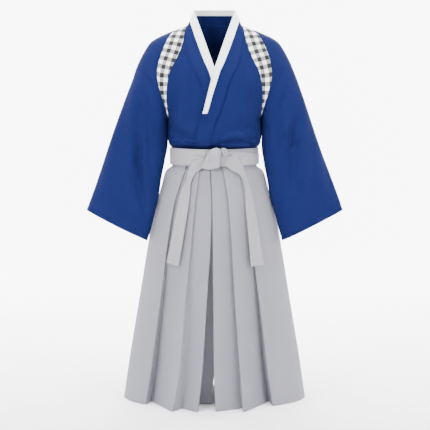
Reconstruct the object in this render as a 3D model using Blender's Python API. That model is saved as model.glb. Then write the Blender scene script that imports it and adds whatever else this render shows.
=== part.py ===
"""Hakama uniform: a crossed martial-arts jacket, tucked into pleated divided trousers, filled out as worn.

Metres, +Z up. The origin is the middle of the waist ring at the belt's mid height. The front faces -Y,
and the wearer's left is +X. Left and right in every name are the wearer's own.
"""

import math
from typing import NamedTuple

import bpy
import numpy as np

# Driving dimensions of the cloth
WALL = 0.0016
BAND_WALL = 0.0016
WHITE_WALL = 0.0012
BELT_WALL = 0.0020
BOARD_WALL = 0.0040
BOARD_LIFT = 0.0025
SEAM = 0.0003

# Driving dimensions of the garment
HEM_Z = -0.872
HAKAMA_TOP_Z = 0.012
CROTCH_Z = -0.420
JACKET_HEM_Z = -0.165
UNDERARM_Z = 0.138
BELT_HEIGHT = 0.059
BELT_SIDE_RISE = 0.0045
BELT_HALF_WIDTH = 0.1577
BELT_HALF_DEPTH = 0.1122
ARMHOLE_HALF_DEPTH = 0.062
PLEAT_LAYER = 0.0025
SLIT_HALF_WIDTH = 0.030
SLIT_BOTTOM_Z = -0.190
SLIT_CLOSING_Z = -0.120

# How rounded the jacket's level sections are, below the underarm and on the chest
SIDE_ROUNDING = 1.2
CHEST_ROUNDING = 2.6

# How far a layer of the crossed fronts is lifted off the one beneath
OVER_FRONT_LIFT = 0.0050
BAND_LIFT = 0.0022
CROSSING_LIFT = 0.0080

# Grid resolution
PANEL_COLUMNS = 8
ARMHOLE_ROWS = 9
SLEEVE_POINTS = 2 * ARMHOLE_ROWS
FRONT_ARC_STEPS = 5
BACK_ARC_STEPS = 10
BELT_STEPS = 24
TIE_STEPS = 11
WRAP_STEPS = 5
BACK_SIDE_COLUMNS = 5
BACK_NECK_COLUMNS = 6
BOARD_ROWS = 5
BOARD_COLUMNS = 10
LUMP_SEGMENTS = 14
LUMP_RINGS = 9


class BodyRow(NamedTuple):
    """A level section of the jacket below the underarm: half its width, and its depth to each side."""

    z: float
    half_width: float
    front: float
    back: float


class ChestRow(NamedTuple):
    """The jacket's depth at the middle, by the share of the way from the underarm to the shoulder ridge."""

    up: float
    front: float
    back: float


class SeamRow(NamedTuple):
    """A point of a seam as seen from the front."""

    z: float
    x: float


class RidgeRow(NamedTuple):
    """A point of the shoulder ridge as seen from the front."""

    x: float
    z: float


class CollarRow(NamedTuple):
    """A station of the neck band: its seam to the front, its free rim, and the white strip's share of it."""

    seam_z: float
    seam_x: float
    rim_z: float
    rim_x: float
    white: float


class SleeveRow(NamedTuple):
    """A section of a sleeve, by the share of the way from armhole to cuff."""

    along: float
    inner_x: float
    inner_y: float
    outer_y: float
    half_depth: float


class HakamaRow(NamedTuple):
    """The hakama's outer form at one height."""

    z: float
    half_width: float
    front: float
    back: float


class PleatRow(NamedTuple):
    """A knife pleat: its fold's distance from the middle at five heights, and how its tuck opens.

    set_hem is how far the fold lies behind the outer form at the hem. The tuck is measured from the
    fold, outwards from the middle. open_hem is how deep the tuck lies behind its fold at the hem.
    """

    waist: float
    hip: float
    knee: float
    shin: float
    hem: float
    set_hem: float
    tuck_waist: float
    tuck_hem: float
    open_hem: float


class InseamRow(NamedTuple):
    """How far each leg's inner edge lies outwards from the middle, front and back."""

    z: float
    front_right: float
    front_left: float
    back_right: float
    back_left: float


class TailRow(NamedTuple):
    """A station of a hanging tie: its outer and its inner edge as seen from the front."""

    outer_x: float
    outer_z: float
    inner_x: float
    inner_z: float


BODY = (
    BodyRow(-0.165, 0.2065, 0.1040, 0.114),
    BodyRow(-0.121, 0.1950, 0.1005, 0.109),
    BodyRow(-0.089, 0.1860, 0.0970, 0.103),
    BodyRow(-0.065, 0.1805, 0.0940, 0.099),
    BodyRow(-0.046, 0.1710, 0.0870, 0.095),
    BodyRow(-0.030, 0.1510, 0.0810, 0.090),
    BodyRow(0.030, 0.1510, 0.0810, 0.090),
    BodyRow(0.048, 0.1630, 0.1050, 0.106),
    BodyRow(0.085, 0.1680, 0.116, 0.112),
    BodyRow(0.138, 0.1657, 0.118, 0.115),
)
CHEST = (
    ChestRow(0.0, 0.118, 0.115),
    ChestRow(0.2, 0.120, 0.119),
    ChestRow(0.4, 0.116, 0.121),
    ChestRow(0.6, 0.101, 0.117),
    ChestRow(0.8, 0.076, 0.104),
    ChestRow(0.92, 0.050, 0.083),
    ChestRow(0.975, 0.028, 0.046),
    ChestRow(1.0, 0.0, 0.0),
)
ARMHOLE = (
    SeamRow(0.138, 0.1657),
    SeamRow(0.180, 0.1780),
    SeamRow(0.219, 0.1925),
    SeamRow(0.237, 0.2010),
    SeamRow(0.272, 0.2255),
    SeamRow(0.297, 0.2470),
    SeamRow(0.322, 0.2748),
)
RIDGE = (
    RidgeRow(0.0, 0.5006),
    RidgeRow(0.094, 0.464),
    RidgeRow(0.189, 0.427),
    RidgeRow(0.2245, 0.406),
    RidgeRow(0.2533, 0.364),
    RidgeRow(0.2748, 0.322),
)
CHECK_INNER_SEAM = (
    SeamRow(0.138, 0.1638),
    SeamRow(0.165, 0.1660),
    SeamRow(0.211, 0.1683),
    SeamRow(0.239, 0.1669),
    SeamRow(0.273, 0.1621),
    SeamRow(0.300, 0.1545),
    SeamRow(0.328, 0.1400),
    SeamRow(0.353, 0.1275),
    SeamRow(0.382, 0.1155),
    SeamRow(0.410, 0.1085),
    SeamRow(0.433, 0.1050),
    SeamRow(0.464, 0.0990),
)
CHECK_OUTER_SEAM = (
    SeamRow(0.138, 0.1648),
    SeamRow(0.180, 0.1747),
    SeamRow(0.218, 0.1860),
    SeamRow(0.250, 0.1945),
    SeamRow(0.288, 0.2008),
    SeamRow(0.322, 0.1972),
    SeamRow(0.370, 0.1832),
    SeamRow(0.414, 0.1641),
    SeamRow(0.432, 0.1535),
    SeamRow(0.445, 0.1400),
)
COLLAR = (
    CollarRow(0.464, 0.0940, 0.516, 0.0726, 0.70),
    CollarRow(0.437, 0.1005, 0.487, 0.0624, 0.52),
    CollarRow(0.408, 0.1027, 0.452, 0.0500, 0.43),
    CollarRow(0.370, 0.0950, 0.415, 0.0369, 0.40),
    CollarRow(0.335, 0.0845, 0.375, 0.0228, 0.38),
    CollarRow(0.304, 0.0730, 0.338, 0.0097, 0.36),
    CollarRow(0.285, 0.0620, 0.3105, 0.0, 0.345),
    CollarRow(0.252, 0.0485, 0.270, -0.0105, 0.33),
    CollarRow(0.211, 0.0351, 0.226, -0.0216, 0.30),
    CollarRow(0.178, 0.0255, 0.188, -0.0312, 0.285),
    CollarRow(0.154, 0.0186, 0.154, -0.0400, 0.27),
    CollarRow(0.130, 0.0050, 0.130, -0.0495, 0.27),
    CollarRow(0.105, -0.0015, 0.105, -0.0560, 0.27),
    CollarRow(0.075, -0.0080, 0.075, -0.0620, 0.27),
    CollarRow(0.048, -0.0125, 0.048, -0.0665, 0.27),
    CollarRow(0.030, -0.0150, 0.030, -0.0680, 0.27),
    CollarRow(-0.030, -0.0180, -0.030, -0.0710, 0.27),
    CollarRow(-0.046, -0.0190, -0.046, -0.0720, 0.27),
    CollarRow(-0.089, -0.0200, -0.089, -0.0740, 0.27),
    CollarRow(-0.165, -0.0220, -0.165, -0.0760, 0.27),
)
NECK_BACK_DEPTH = 0.083
NECK_RIM_BACK_DEPTH = 0.065
NECK_BACK_Z = 0.470
NECK_RIM_BACK_Z = 0.524
NECK_BACK_STEPS = 5
BAND_TRIM = 0.0004
WHITE_LIFT = 0.0005
WHITE_END_Z = 0.151
WHITE_UNDER_END_Z = 0.250
FRONT_EXTRA_LEVELS = (0.006, 0.0665, 0.112)
BACK_EXTRA_LEVEL = 0.112
SLEEVE = (
    SleeveRow(0.0, 0.1657, 0.0, 0.0, 0.062),
    SleeveRow(0.08, 0.1697, -0.004, 0.0, 0.061),
    SleeveRow(0.20, 0.1708, -0.012, -0.003, 0.059),
    SleeveRow(0.35, 0.1722, -0.022, -0.006, 0.055),
    SleeveRow(0.50, 0.1852, -0.036, -0.010, 0.050),
    SleeveRow(0.65, 0.1940, -0.052, -0.014, 0.046),
    SleeveRow(0.80, 0.2120, -0.058, -0.018, 0.041),
    SleeveRow(0.92, 0.2280, -0.054, -0.020, 0.037),
    SleeveRow(1.0, 0.2390, -0.050, -0.020, 0.034),
)
SLEEVE_SHARES = (0.0, 0.03, 0.08, 0.14, 0.21, 0.30, 0.40, 0.50, 0.60, 0.70, 0.80, 0.90, 1.0)
CUFF_OUTER_X = 0.458
CUFF_OUTER_Z = -0.188
CUFF_INNER_Z = -0.295
HAKAMA = (
    HakamaRow(-0.872, 0.3300, 0.2100, 0.200),
    HakamaRow(-0.740, 0.3107, 0.1980, 0.192),
    HakamaRow(-0.520, 0.2735, 0.1780, 0.180),
    HakamaRow(-0.300, 0.2364, 0.1570, 0.165),
    HakamaRow(-0.165, 0.2111, 0.1400, 0.149),
    HakamaRow(-0.121, 0.1955, 0.1310, 0.137),
    HakamaRow(-0.089, 0.1860, 0.1245, 0.127),
    HakamaRow(-0.065, 0.1810, 0.1205, 0.121),
    HakamaRow(-0.046, 0.1720, 0.1165, 0.116),
    HakamaRow(-0.030, 0.1535, 0.1080, 0.108),
    HakamaRow(0.012, 0.1535, 0.1080, 0.108),
)
PLEAT_HEIGHTS = (-0.040, -0.170, -0.520, -0.745, HEM_Z)
FRONT_PLEATS = {
    "right": (
        PleatRow(0.1020, 0.1420, 0.194, 0.2250, 0.246, 0.024, 0.018, -0.021, 0.037),
        PleatRow(0.0520, 0.0690, 0.105, 0.1245, 0.148, -0.013, 0.026, -0.033, 0.035),
        PleatRow(0.0168, 0.0116, 0.030, 0.0450, 0.059, -0.001, 0.020, -0.0065, 0.090),
    ),
    "left": (
        PleatRow(0.0885, 0.1120, 0.1605, 0.187, 0.207, 0.032, 0.020, -0.0125, 0.048),
        PleatRow(0.0310, 0.0500, 0.0740, 0.091, 0.101, -0.008, 0.026, -0.0050, 0.042),
        PleatRow(-0.0124, -0.0064, -0.0020, 0.000, 0.0055, 0.009, 0.0, 0.0, 0.080),
    ),
}
BACK_PLEATS = (PleatRow(0.0300, 0.0360, 0.055, 0.066, 0.072, 0.004, 0.030, -0.010, 0.030),)
INSEAM = (
    InseamRow(-0.872, 0.0100, 0.0060, 0.0100, 0.0060),
    InseamRow(-0.800, 0.0045, 0.0050, 0.0045, 0.0050),
    InseamRow(-0.745, 0.0005, 0.0045, 0.0005, 0.0045),
    InseamRow(-0.520, 0.0, 0.0035, 0.0003, 0.0035),
    InseamRow(-0.420, 0.0, 0.0011, 0.00015, 0.00015),
    InseamRow(0.012, 0.0, 0.0, 0.00015, 0.00015),
)
HAKAMA_LEVELS = (
    HEM_Z, -0.80, -0.745, -0.64, -0.52, -0.421, -0.30, -0.235, -0.19, -0.155,
    -0.121, -0.089, -0.065, -0.046, -0.038, -0.030, HAKAMA_TOP_Z,
)
TAILS = {
    "right": (
        TailRow(-0.0460, 0.0040, -0.0300, -0.0150),
        TailRow(-0.0745, -0.0130, -0.0455, -0.0365),
        TailRow(-0.0890, -0.0330, -0.0665, -0.0530),
        TailRow(-0.0960, -0.0720, -0.0800, -0.0780),
        TailRow(-0.1120, -0.1080, -0.0850, -0.1030),
        TailRow(-0.1260, -0.1550, -0.0880, -0.1470),
        TailRow(-0.1460, -0.2600, -0.1060, -0.2620),
        TailRow(-0.1670, -0.3620, -0.1250, -0.3730),
    ),
    "left": (
        TailRow(0.0640, 0.0150, 0.0330, -0.0180),
        TailRow(0.0870, -0.0050, 0.0520, -0.0380),
        TailRow(0.1030, -0.0360, 0.0850, -0.0560),
        TailRow(0.1150, -0.0760, 0.1000, -0.0790),
        TailRow(0.1290, -0.1180, 0.1080, -0.1150),
        TailRow(0.1390, -0.1660, 0.1085, -0.1660),
        TailRow(0.1560, -0.2660, 0.1180, -0.2680),
        TailRow(0.1740, -0.3700, 0.1270, -0.3740),
    ),
}
TAIL_CLEARANCE = 0.0050
TAIL_OVER_BELT = {"left": 0.0028, "right": 0.0051}
TAIL_ROWS = 22
TAIL_SHARES = (0.0, 0.33, 0.67, 1.0)

# The ties on the waistband: their edges' insets, and where they end
TIE_INSET = 0.001
TIE_END_X = 0.020
TIE_LEFT_TOP = 0.006
TIE_LEFT_RISE = 0.014
WRAP_OUTER_X = -0.105
WRAP_INNER_X = -0.031
WRAP_BOTTOM_INSET = 0.004
WRAP_TOP_INSET = 0.0005

# The stiff board at the small of the back
BOARD_TOP_Z = 0.118
BOARD_HALF_WIDTH = 0.112
BOARD_TAPER = 0.030

# The knot: its core, the loop beside it, and the cloth wrapped over the core
KNOT_CENTRE = (-0.006, -0.1235, -0.002)
KNOT_HALF_SIZE = (0.022, 0.0105, 0.034)
KNOT_SLANT = 0.32
KNOT_LOOP_CENTRE = (0.0340, -0.1187, 0.021)
KNOT_LOOP_HALF_SIZE = (0.0115, 0.0065, 0.014)
KNOT_LOOP_SLANT = -0.25
KNOT_ROUNDING = 0.75
KNOT_WRAP_HALF_WIDTH = 0.0235
KNOT_WRAP_OUTER = 0.0034
KNOT_WRAP_INNER = 0.0009
KNOT_WRAP_REACH = 80

SIDES = {"left": 1, "right": -1}
COLOURS = {
    "blue_twill": ((0.016, 0.055, 0.250), 0.85),
    "white_cloth": ((0.80, 0.81, 0.83), 0.80),
    "check_cloth": ((0.32, 0.33, 0.35), 0.85),
    "grey_cloth": ((0.47, 0.48, 0.53), 0.80),
    "grey_tie": ((0.44, 0.45, 0.50), 0.80),
}


def follow(rows, column, at, key="z"):
    """Reads a table's column at a value of its key, on a smooth curve that doesn't overshoot."""
    keys = [getattr(row, key) for row in rows]
    values = [getattr(row, column) for row in rows]
    at = min(max(at, keys[0]), keys[-1])
    k = max(i for i in range(len(keys) - 1) if keys[i] <= at)
    steps = [(values[i + 1] - values[i]) / (keys[i + 1] - keys[i]) for i in range(len(keys) - 1)]

    def tangent(i):
        before = steps[max(i - 1, 0)]
        after = steps[min(i, len(steps) - 1)]
        return 2 * before * after / (before + after) if before * after > 0 else 0.0

    width = keys[k + 1] - keys[k]
    t = (at - keys[k]) / width
    return (
        (2 * t**3 - 3 * t**2 + 1) * values[k]
        + (t**3 - 2 * t**2 + t) * width * tangent(k)
        + (3 * t**2 - 2 * t**3) * values[k + 1]
        + (t**3 - t**2) * width * tangent(k + 1)
    )


def ease(start, end, at):
    """Rises smoothly from 0 at start to 1 at end."""
    t = min(max((at - start) / (end - start), 0.0), 1.0)
    return t * t * (3 - 2 * t)


def unit(vector):
    """A vector at length 1."""
    return vector / np.linalg.norm(vector)


def material(name):
    """The cloth's material, made once."""
    made = bpy.data.materials.get(name)
    if made:
        return made
    colour, roughness = COLOURS[name]
    made = bpy.data.materials.new(name)
    made.use_nodes = True
    shader = made.node_tree.nodes["Principled BSDF"]
    shader.inputs["Base Color"].default_value = (*colour, 1.0)
    shader.inputs["Roughness"].default_value = roughness
    shader.inputs["Metallic"].default_value = 0.0
    return made


def place(name, points, faces, cloth):
    """Makes an object of points and faces, in the garment's collection."""
    mesh = bpy.data.meshes.new(name)
    mesh.from_pydata([tuple(map(float, point)) for point in points], [], faces)
    mesh.materials.append(material(cloth))
    mesh.shade_smooth()
    mesh.set_sharp_from_angle(angle=math.radians(40))
    made = bpy.data.objects.new(name, mesh)
    bpy.data.collections["hakama_uniform"].objects.link(made)
    return made


def wall_of_cloth(name, outer, inner, cloth, closed=False):
    """A wall between an outer and an inner grid of points, in rows and columns.

    Rows run so that (along a column) x (along a row) points inwards. A closed wall's rows are rings.
    """
    outer = np.asarray(outer, float)
    inner = np.asarray(inner, float)
    rows, columns = outer.shape[:2]
    points = [*outer.reshape(-1, 3), *inner.reshape(-1, 3)]
    depth = rows * columns
    spans = columns if closed else columns - 1

    def at(row, column, layer=0):
        return layer * depth + row * columns + column % columns

    faces = []
    for r in range(rows - 1):
        for c in range(spans):
            faces.append((at(r, c), at(r, c + 1), at(r + 1, c + 1), at(r + 1, c)))
            faces.append((at(r, c, 1), at(r + 1, c, 1), at(r + 1, c + 1, 1), at(r, c + 1, 1)))
    for c in range(spans):
        faces.append((at(0, c), at(0, c, 1), at(0, c + 1, 1), at(0, c + 1)))
        faces.append((at(rows - 1, c), at(rows - 1, c + 1), at(rows - 1, c + 1, 1), at(rows - 1, c, 1)))
    if not closed:
        for r in range(rows - 1):
            faces.append((at(r, 0), at(r + 1, 0), at(r + 1, 0, 1), at(r, 0, 1)))
            last = columns - 1
            faces.append((at(r, last), at(r, last, 1), at(r + 1, last, 1), at(r + 1, last)))
    made = place(name, points, faces, cloth)
    turn_outwards(made.data)
    return made


def turn_outwards(mesh):
    """Turns every face round where the solid would have a negative volume."""
    mesh.calc_loop_triangles()
    volume = 0.0
    for triangle in mesh.loop_triangles:
        a, b, c = (mesh.vertices[i].co for i in triangle.vertices)
        volume += a.dot(b.cross(c))
    if volume < 0:
        mesh.flip_normals()


def grid_normals(grid, closed=False):
    """The normal at each point of a grid, from its neighbours along the row and the column."""
    along = np.gradient(grid, axis=0)
    if closed:
        across = np.roll(grid, -1, axis=1) - np.roll(grid, 1, axis=1)
    else:
        across = np.gradient(grid, axis=1)
    normals = np.cross(across, along)
    return normals / np.linalg.norm(normals, axis=2, keepdims=True)


def torso(round_to, level, facing=-1):
    """A point of the jacket's outer face.

    round_to runs from the middle, 0, to the side, 1 or -1. level is the height up to the underarm, and
    past it the underarm's height plus the share of the way up to the shoulder ridge. facing is -1 for
    the front and 1 for the back.
    """
    depth_of = "front" if facing < 0 else "back"
    sine = math.sin(abs(round_to) * math.pi / 2) ** (1 / SIDE_ROUNDING)
    cosine = math.cos(round_to * math.pi / 2)
    if level <= UNDERARM_Z:
        x = follow(BODY, "half_width", level) * math.copysign(sine, round_to)
        return np.array([x, facing * follow(BODY, depth_of, level) * cosine, level])
    up = min(level - UNDERARM_Z, 1.0)
    side_z = UNDERARM_Z + (RIDGE[-1].z - UNDERARM_Z) * up
    middle_z = UNDERARM_Z + (RIDGE[0].z - UNDERARM_Z) * up
    flat = ease(0.0, 0.35, up)
    share = (1 - flat) * sine + flat * abs(round_to)
    bow = (1 - flat) * cosine + flat * (1 - share**CHEST_ROUNDING)
    side_y = ARMHOLE_HALF_DEPTH * 2 * math.sqrt(max(up * (1 - up), 0.0))
    y = side_y + (follow(CHEST, depth_of, up, "up") - side_y) * bow
    drop = (follow(RIDGE, "z", share * RIDGE[-1].x, "x") - RIDGE[-1].z) / (RIDGE[0].z - RIDGE[-1].z)
    x = follow(ARMHOLE, "x", side_z) * math.copysign(share, round_to)
    return np.array([x, facing * y, side_z + (middle_z - side_z) * drop])


def torso_normal(round_to, level, facing=-1):
    """The outward normal of the jacket's outer face, shared by the pieces that meet there."""
    step = 1e-3
    inside = min(max(round_to, -0.985), 0.985)
    low = max(level - step, JACKET_HEM_Z)
    high = min(level + step, UNDERARM_Z + 1.0)
    if level <= UNDERARM_Z:
        high = min(high, UNDERARM_Z)
    across = torso(inside + step, level, facing) - torso(inside - step, level, facing)
    upwards = torso(inside, high, facing) - torso(inside, low, facing)
    normal = -facing * np.cross(across, upwards)
    on_ridge = level > UNDERARM_Z + 0.999
    on_side_seam = abs(round_to) > 0.999 and level <= UNDERARM_Z
    if on_ridge or on_side_seam:
        normal[1] = 0.0
    return unit(normal)


def torso_skin(round_to, level, lift, facing=-1):
    """A point over the jacket's outer face, kept half a seam's gap off the side and shoulder seams."""
    point = torso(round_to, level, facing) + torso_normal(round_to, level, facing) * lift
    if facing * point[1] < SEAM / 2:
        point[1] = facing * SEAM / 2
    return point


def round_at(seam_x, level, side):
    """How far round the jacket a seam lies at a level. seam_x gives the seam's x at a height."""
    low, high = -1.0, 1.0
    for _ in range(40):
        middle = (low + high) / 2
        point = torso(middle, level)
        if point[0] < seam_x(point[2]):
            low = middle
        else:
            high = middle
    return side * (low + high) / 2


def trimmed(round_to, level, towards, gap=SEAM / 2):
    """A place round the jacket, moved by half a seam's gap towards another place."""
    step = 1e-3 * math.copysign(1, towards - round_to)
    length = np.linalg.norm(torso(round_to + step, level) - torso(round_to, level))
    return round_to + step * gap / length


def rows_above_underarm(first=0):
    """Levels from the underarm to the shoulder ridge, closer together at both ends."""
    shares = [(1 - math.cos(math.pi * j / ARMHOLE_ROWS)) / 2 for j in range(first, ARMHOLE_ROWS + 1)]
    return [UNDERARM_Z + max(share, 1e-6) for share in shares]


def collar_seam_x(z):
    """The x of the neck band's seam at a height, on the left side."""
    return follow(COLLAR[::-1], "seam_x", z, "seam_z")


def check_inner_x(z):
    """The x of the check insert's inner seam at a height, on the left side."""
    return follow(CHECK_INNER_SEAM, "x", z)


def check_outer_x(z):
    """The x of the check insert's outer seam at a height, on the left side."""
    return follow(CHECK_OUTER_SEAM, "x", z)


def over_lift(x, z):
    """How far the left front is lifted where it lies over the right one."""
    return OVER_FRONT_LIFT * ease(0.130, 0.085, x) * ease(0.335, 0.290, z)


def panel(name, levels, start, end, cloth, facing=-1, lift=None, thickness=WALL, columns=PANEL_COLUMNS):
    """A piece of the jacket between two places round it, given for each level."""
    outer, inner = [], []
    for level in levels:
        a, b = start(level), end(level)
        a, b = trimmed(a, level, b), trimmed(b, level, a)
        places = [a + (b - a) * c / columns for c in range(columns + 1)]
        lifts = []
        for place_round in places:
            point = torso(place_round, level, facing)
            lifts.append(lift(point[0], point[2]) if lift else 0.0)
        outer.append([torso_skin(p, level, up, facing) for p, up in zip(places, lifts)])
        inner.append([torso_skin(p, level, up - thickness, facing) for p, up in zip(places, lifts)])
    return wall_of_cloth(name, outer, inner, cloth)


def jacket_front(side_name):
    """A front, from the neck band's seam to the side seam, and past the underarm to the check insert."""
    side = SIDES[side_name]
    levels = front_levels()

    def start(level):
        return round_at(collar_seam_x, level, side)

    def end(level):
        return float(side) if level < UNDERARM_Z else round_at(check_inner_x, level, side)

    lift = over_lift if side_name == "left" else None
    return panel(f"jacket_front_{side_name}", levels, start, end, "blue_twill", lift=lift)


def jacket_back():
    """The back, from side seam to side seam and up to the neckline."""
    levels = sorted({row.z for row in BODY[:-1]} | {BACK_EXTRA_LEVEL}) + rows_above_underarm()
    neck_share = RIDGE[1].x / RIDGE[-1].x
    outside = np.linspace(neck_share, 1, BACK_SIDE_COLUMNS + 1)
    across = np.linspace(-neck_share, neck_share, BACK_NECK_COLUMNS + 1)
    places = [*(-outside[:0:-1]), *across, *outside[1:]]
    outer, inner = [], []
    for level in levels:
        up = max(level - UNDERARM_Z, 0.0)
        row_outer, row_inner = [], []
        for place_round in places:
            edge = trimmed(place_round, level, 0.0) if abs(place_round) > 0.999 else place_round
            point, under = torso_skin(edge, level, 0.0, 1), torso_skin(edge, level, -WALL, 1)
            inside = min(abs(place_round) / neck_share, 1.0)
            pulled = ease(0.35, 1.0, up)
            if inside < 1 and pulled > 0:
                round_neck = math.sqrt(1 - inside**2)
                neckline = np.array([
                    math.copysign(COLLAR[0].seam_x * inside, place_round),
                    NECK_BACK_DEPTH * round_neck + SEAM / 2,
                    COLLAR[0].seam_z + (NECK_BACK_Z - COLLAR[0].seam_z) * round_neck - SEAM,
                ])
                below = torso(place_round, UNDERARM_Z + min(up, 1 - 0.12 * round_neck), 1)
                point = below + (neckline - below) * pulled
                under = point - unit(point * [1, 1, 0] + [0, 0.01, 0.03]) * WALL
                if under[1] < SEAM / 2:
                    under[1] = SEAM / 2
            row_outer.append(point)
            row_inner.append(under)
        outer.append(row_outer)
        inner.append(row_inner)
    return wall_of_cloth("jacket_back", outer, inner, "blue_twill")


def check_insert(side_name):
    """The crescent of check cloth between the front and the shoulder piece."""
    side = SIDES[side_name]
    return panel(
        f"check_{side_name}",
        rows_above_underarm(),
        lambda level: round_at(check_inner_x, level, side),
        lambda level: round_at(check_outer_x, level, side),
        "check_cloth",
        columns=3,
    )


def shoulder(side_name):
    """The front cloth between the check insert and the sleeve's seam."""
    side = SIDES[side_name]
    return panel(
        f"shoulder_{side_name}",
        rows_above_underarm(),
        lambda level: round_at(check_outer_x, level, side),
        lambda level: float(side),
        "blue_twill",
        columns=5,
    )


def on_body(x, z):
    """The outer point of the jacket's front that shows at x and z from the front, and its normal."""
    low, high = JACKET_HEM_Z, UNDERARM_Z + 1.0
    for _ in range(30):
        level = (low + high) / 2
        place_round = round_at(lambda _z: abs(x), level, 1)
        if torso(place_round, level)[2] < z:
            low = level
        else:
            high = level
    place_round = math.copysign(round_at(lambda _z: abs(x), level, 1), x)
    return torso(place_round, level), torso_normal(place_round, level)


def front_levels():
    """The levels of the fronts' rows, which the neck band's stations share."""
    low = {row.z for row in BODY[:-1]} | set(FRONT_EXTRA_LEVELS)
    return sorted(low) + rows_above_underarm()


def collar_stations(side_name):
    """The neck band's stations from the middle of the back to the hem: seam, rim and share of white."""
    side = SIDES[side_name]
    stations = []
    first = COLLAR[0]
    for k in range(NECK_BACK_STEPS):
        angle = math.pi / 2 * (1 - k / NECK_BACK_STEPS)
        c, s = math.cos(angle), math.sin(angle)
        seam = [first.seam_x * c, NECK_BACK_DEPTH * s, first.seam_z + (NECK_BACK_Z - first.seam_z) * s]
        rim = [first.rim_x * c, NECK_RIM_BACK_DEPTH * s, first.rim_z + (NECK_RIM_BACK_Z - first.rim_z) * s]
        stations.append((np.array(seam), np.array(rim), first.white))
    v_bottom = next(row for row in COLLAR if row.rim_x <= 0)
    v_depth = -on_body(0.0, v_bottom.rim_z)[0][1]
    for level in reversed(front_levels()):
        place_round = round_at(collar_seam_x, level, 1)
        seam, normal = torso(place_round, level), torso_normal(place_round, level)
        rim_z, rim_x, white = (follow(COLLAR[::-1], name, seam[2], "seam_z") for name in CollarRow._fields[2:])
        lift = BAND_LIFT
        if side_name == "left":
            lift += over_lift(seam[0], seam[2])
            lift = max(lift, CROSSING_LIFT * ease(0.40, 0.35, rim_z) * ease(0.16, 0.21, rim_z))
        if rim_z > v_bottom.rim_z:
            drop = (first.rim_z - rim_z) / (first.rim_z - v_bottom.rim_z)
            rim = np.array([rim_x, -v_depth * drop**0.8, rim_z]) + normal * lift * drop
        else:
            rim, rim_normal = on_body(rim_x, rim_z)
            rim = rim + rim_normal * lift
        stations.append((seam + normal * lift, rim, white))
    return [(s * [side, 1, 1], r * [side, 1, 1], white) for s, r, white in stations]


def collar_grid():
    """The neck band's outer points and normals, from the right hem round the neck to the left hem."""
    grid = []
    for seam, rim, white in collar_stations("right")[:0:-1] + collar_stations("left"):
        shares = (0.0, (1 - white) / 2, 1 - white, 1 - white / 2, 1.0)
        trim = BAND_TRIM / np.linalg.norm(rim - seam)
        grid.append([seam + (rim - seam) * (trim + (1 - trim) * share) for share in shares])
    grid = np.array(grid)
    normals = grid_normals(grid)
    if np.sum(normals * grid * [1, 1, 0]) < 0:
        normals = -normals
    return grid, normals


def part_row(rows, z):
    """A row of points between a grid's rows, where its first point is at a height."""
    k = next(i for i in range(len(rows) - 1) if (rows[i][0][2] - z) * (rows[i + 1][0][2] - z) <= 0)
    t = (z - rows[k][0][2]) / (rows[k + 1][0][2] - rows[k][0][2])
    return k, rows[k] + (rows[k + 1] - rows[k]) * t


def collar():
    """The blue neck band round the neck, the white strip on its rim side, and the strip's fold inside."""
    grid, normals = collar_grid()
    wall_of_cloth("collar_band", grid, grid - normals * BAND_WALL, "blue_twill")
    middle = len(grid) // 2
    white, white_normals = grid[:, 2:], normals[:, 2:]
    under_end, first_row = part_row(white[:middle], WHITE_UNDER_END_Z)
    over_end, last_row = part_row(white[middle:], WHITE_END_Z)
    rows = slice(under_end + 1, middle + over_end + 1)
    strip = np.array([first_row, *white[rows], last_row])
    outwards = np.array([white_normals[under_end], *white_normals[rows], white_normals[middle + over_end]])
    lifted = strip + outwards * WHITE_LIFT
    wall_of_cloth("collar_white", lifted + outwards * WHITE_WALL, lifted, "white_cloth")
    rows = slice(middle - NECK_BACK_STEPS - 1, middle + NECK_BACK_STEPS + 2)
    inwards = white_normals[rows, 1:]
    sunk = white[rows, 1:] - inwards * (BAND_WALL + WHITE_LIFT)
    wall_of_cloth("collar_white_fold", sunk, sunk - inwards * WHITE_WALL, "white_cloth")


def sleeve(side_name):
    """A wide straight sleeve, from the armhole's seam to the open cuff."""
    side = SIDES[side_name]
    top = np.array([ARMHOLE[-1].x, 0.0, ARMHOLE[-1].z])
    middle = np.array([(ARMHOLE[0].x + ARMHOLE[-1].x) / 2, 0.0, (ARMHOLE[0].z + ARMHOLE[-1].z) / 2])
    rings = []
    for along in SLEEVE_SHARES:
        inner_edge = np.array([
            follow(SLEEVE, "inner_x", along, "along"),
            follow(SLEEVE, "inner_y", along, "along"),
            UNDERARM_Z + (CUFF_INNER_Z - UNDERARM_Z) * along,
        ])
        outer_edge = np.array([
            top[0] + (CUFF_OUTER_X - top[0]) * along,
            follow(SLEEVE, "outer_y", along, "along"),
            top[2] + (CUFF_OUTER_Z - top[2]) * along,
        ])
        depth = follow(SLEEVE, "half_depth", along, "along")
        ring = []
        for k in range(SLEEVE_POINTS):
            angle = 2 * math.pi * k / SLEEVE_POINTS
            share = (1 + math.cos(angle)) / 2
            point = inner_edge + (outer_edge - inner_edge) * share
            point[1] += depth * math.sin(angle)
            seam_z = UNDERARM_Z + (top[2] - UNDERARM_Z) * share
            straight_x = ARMHOLE[0].x + (top[0] - ARMHOLE[0].x) * share
            bow = follow(ARMHOLE, "x", seam_z) - straight_x
            point[0] += bow * (1 - ease(0.0, 0.25, along)) + SEAM
            ring.append(point)
        rings.append(ring)
    outer = np.array(rings)
    normals = grid_normals(outer, closed=True)
    if np.sum(normals[0] * (outer[0] - middle)) < 0:
        normals = -normals
    normals[0] = [unit(point - middle) for point in outer[0]]
    outer[0] += [SEAM, 0.0, -SEAM]
    inner = outer - normals * WALL
    mirror = np.array([side, 1, 1])
    return wall_of_cloth(f"sleeve_{side_name}", outer * mirror, inner * mirror, "blue_twill", closed=True)


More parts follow.
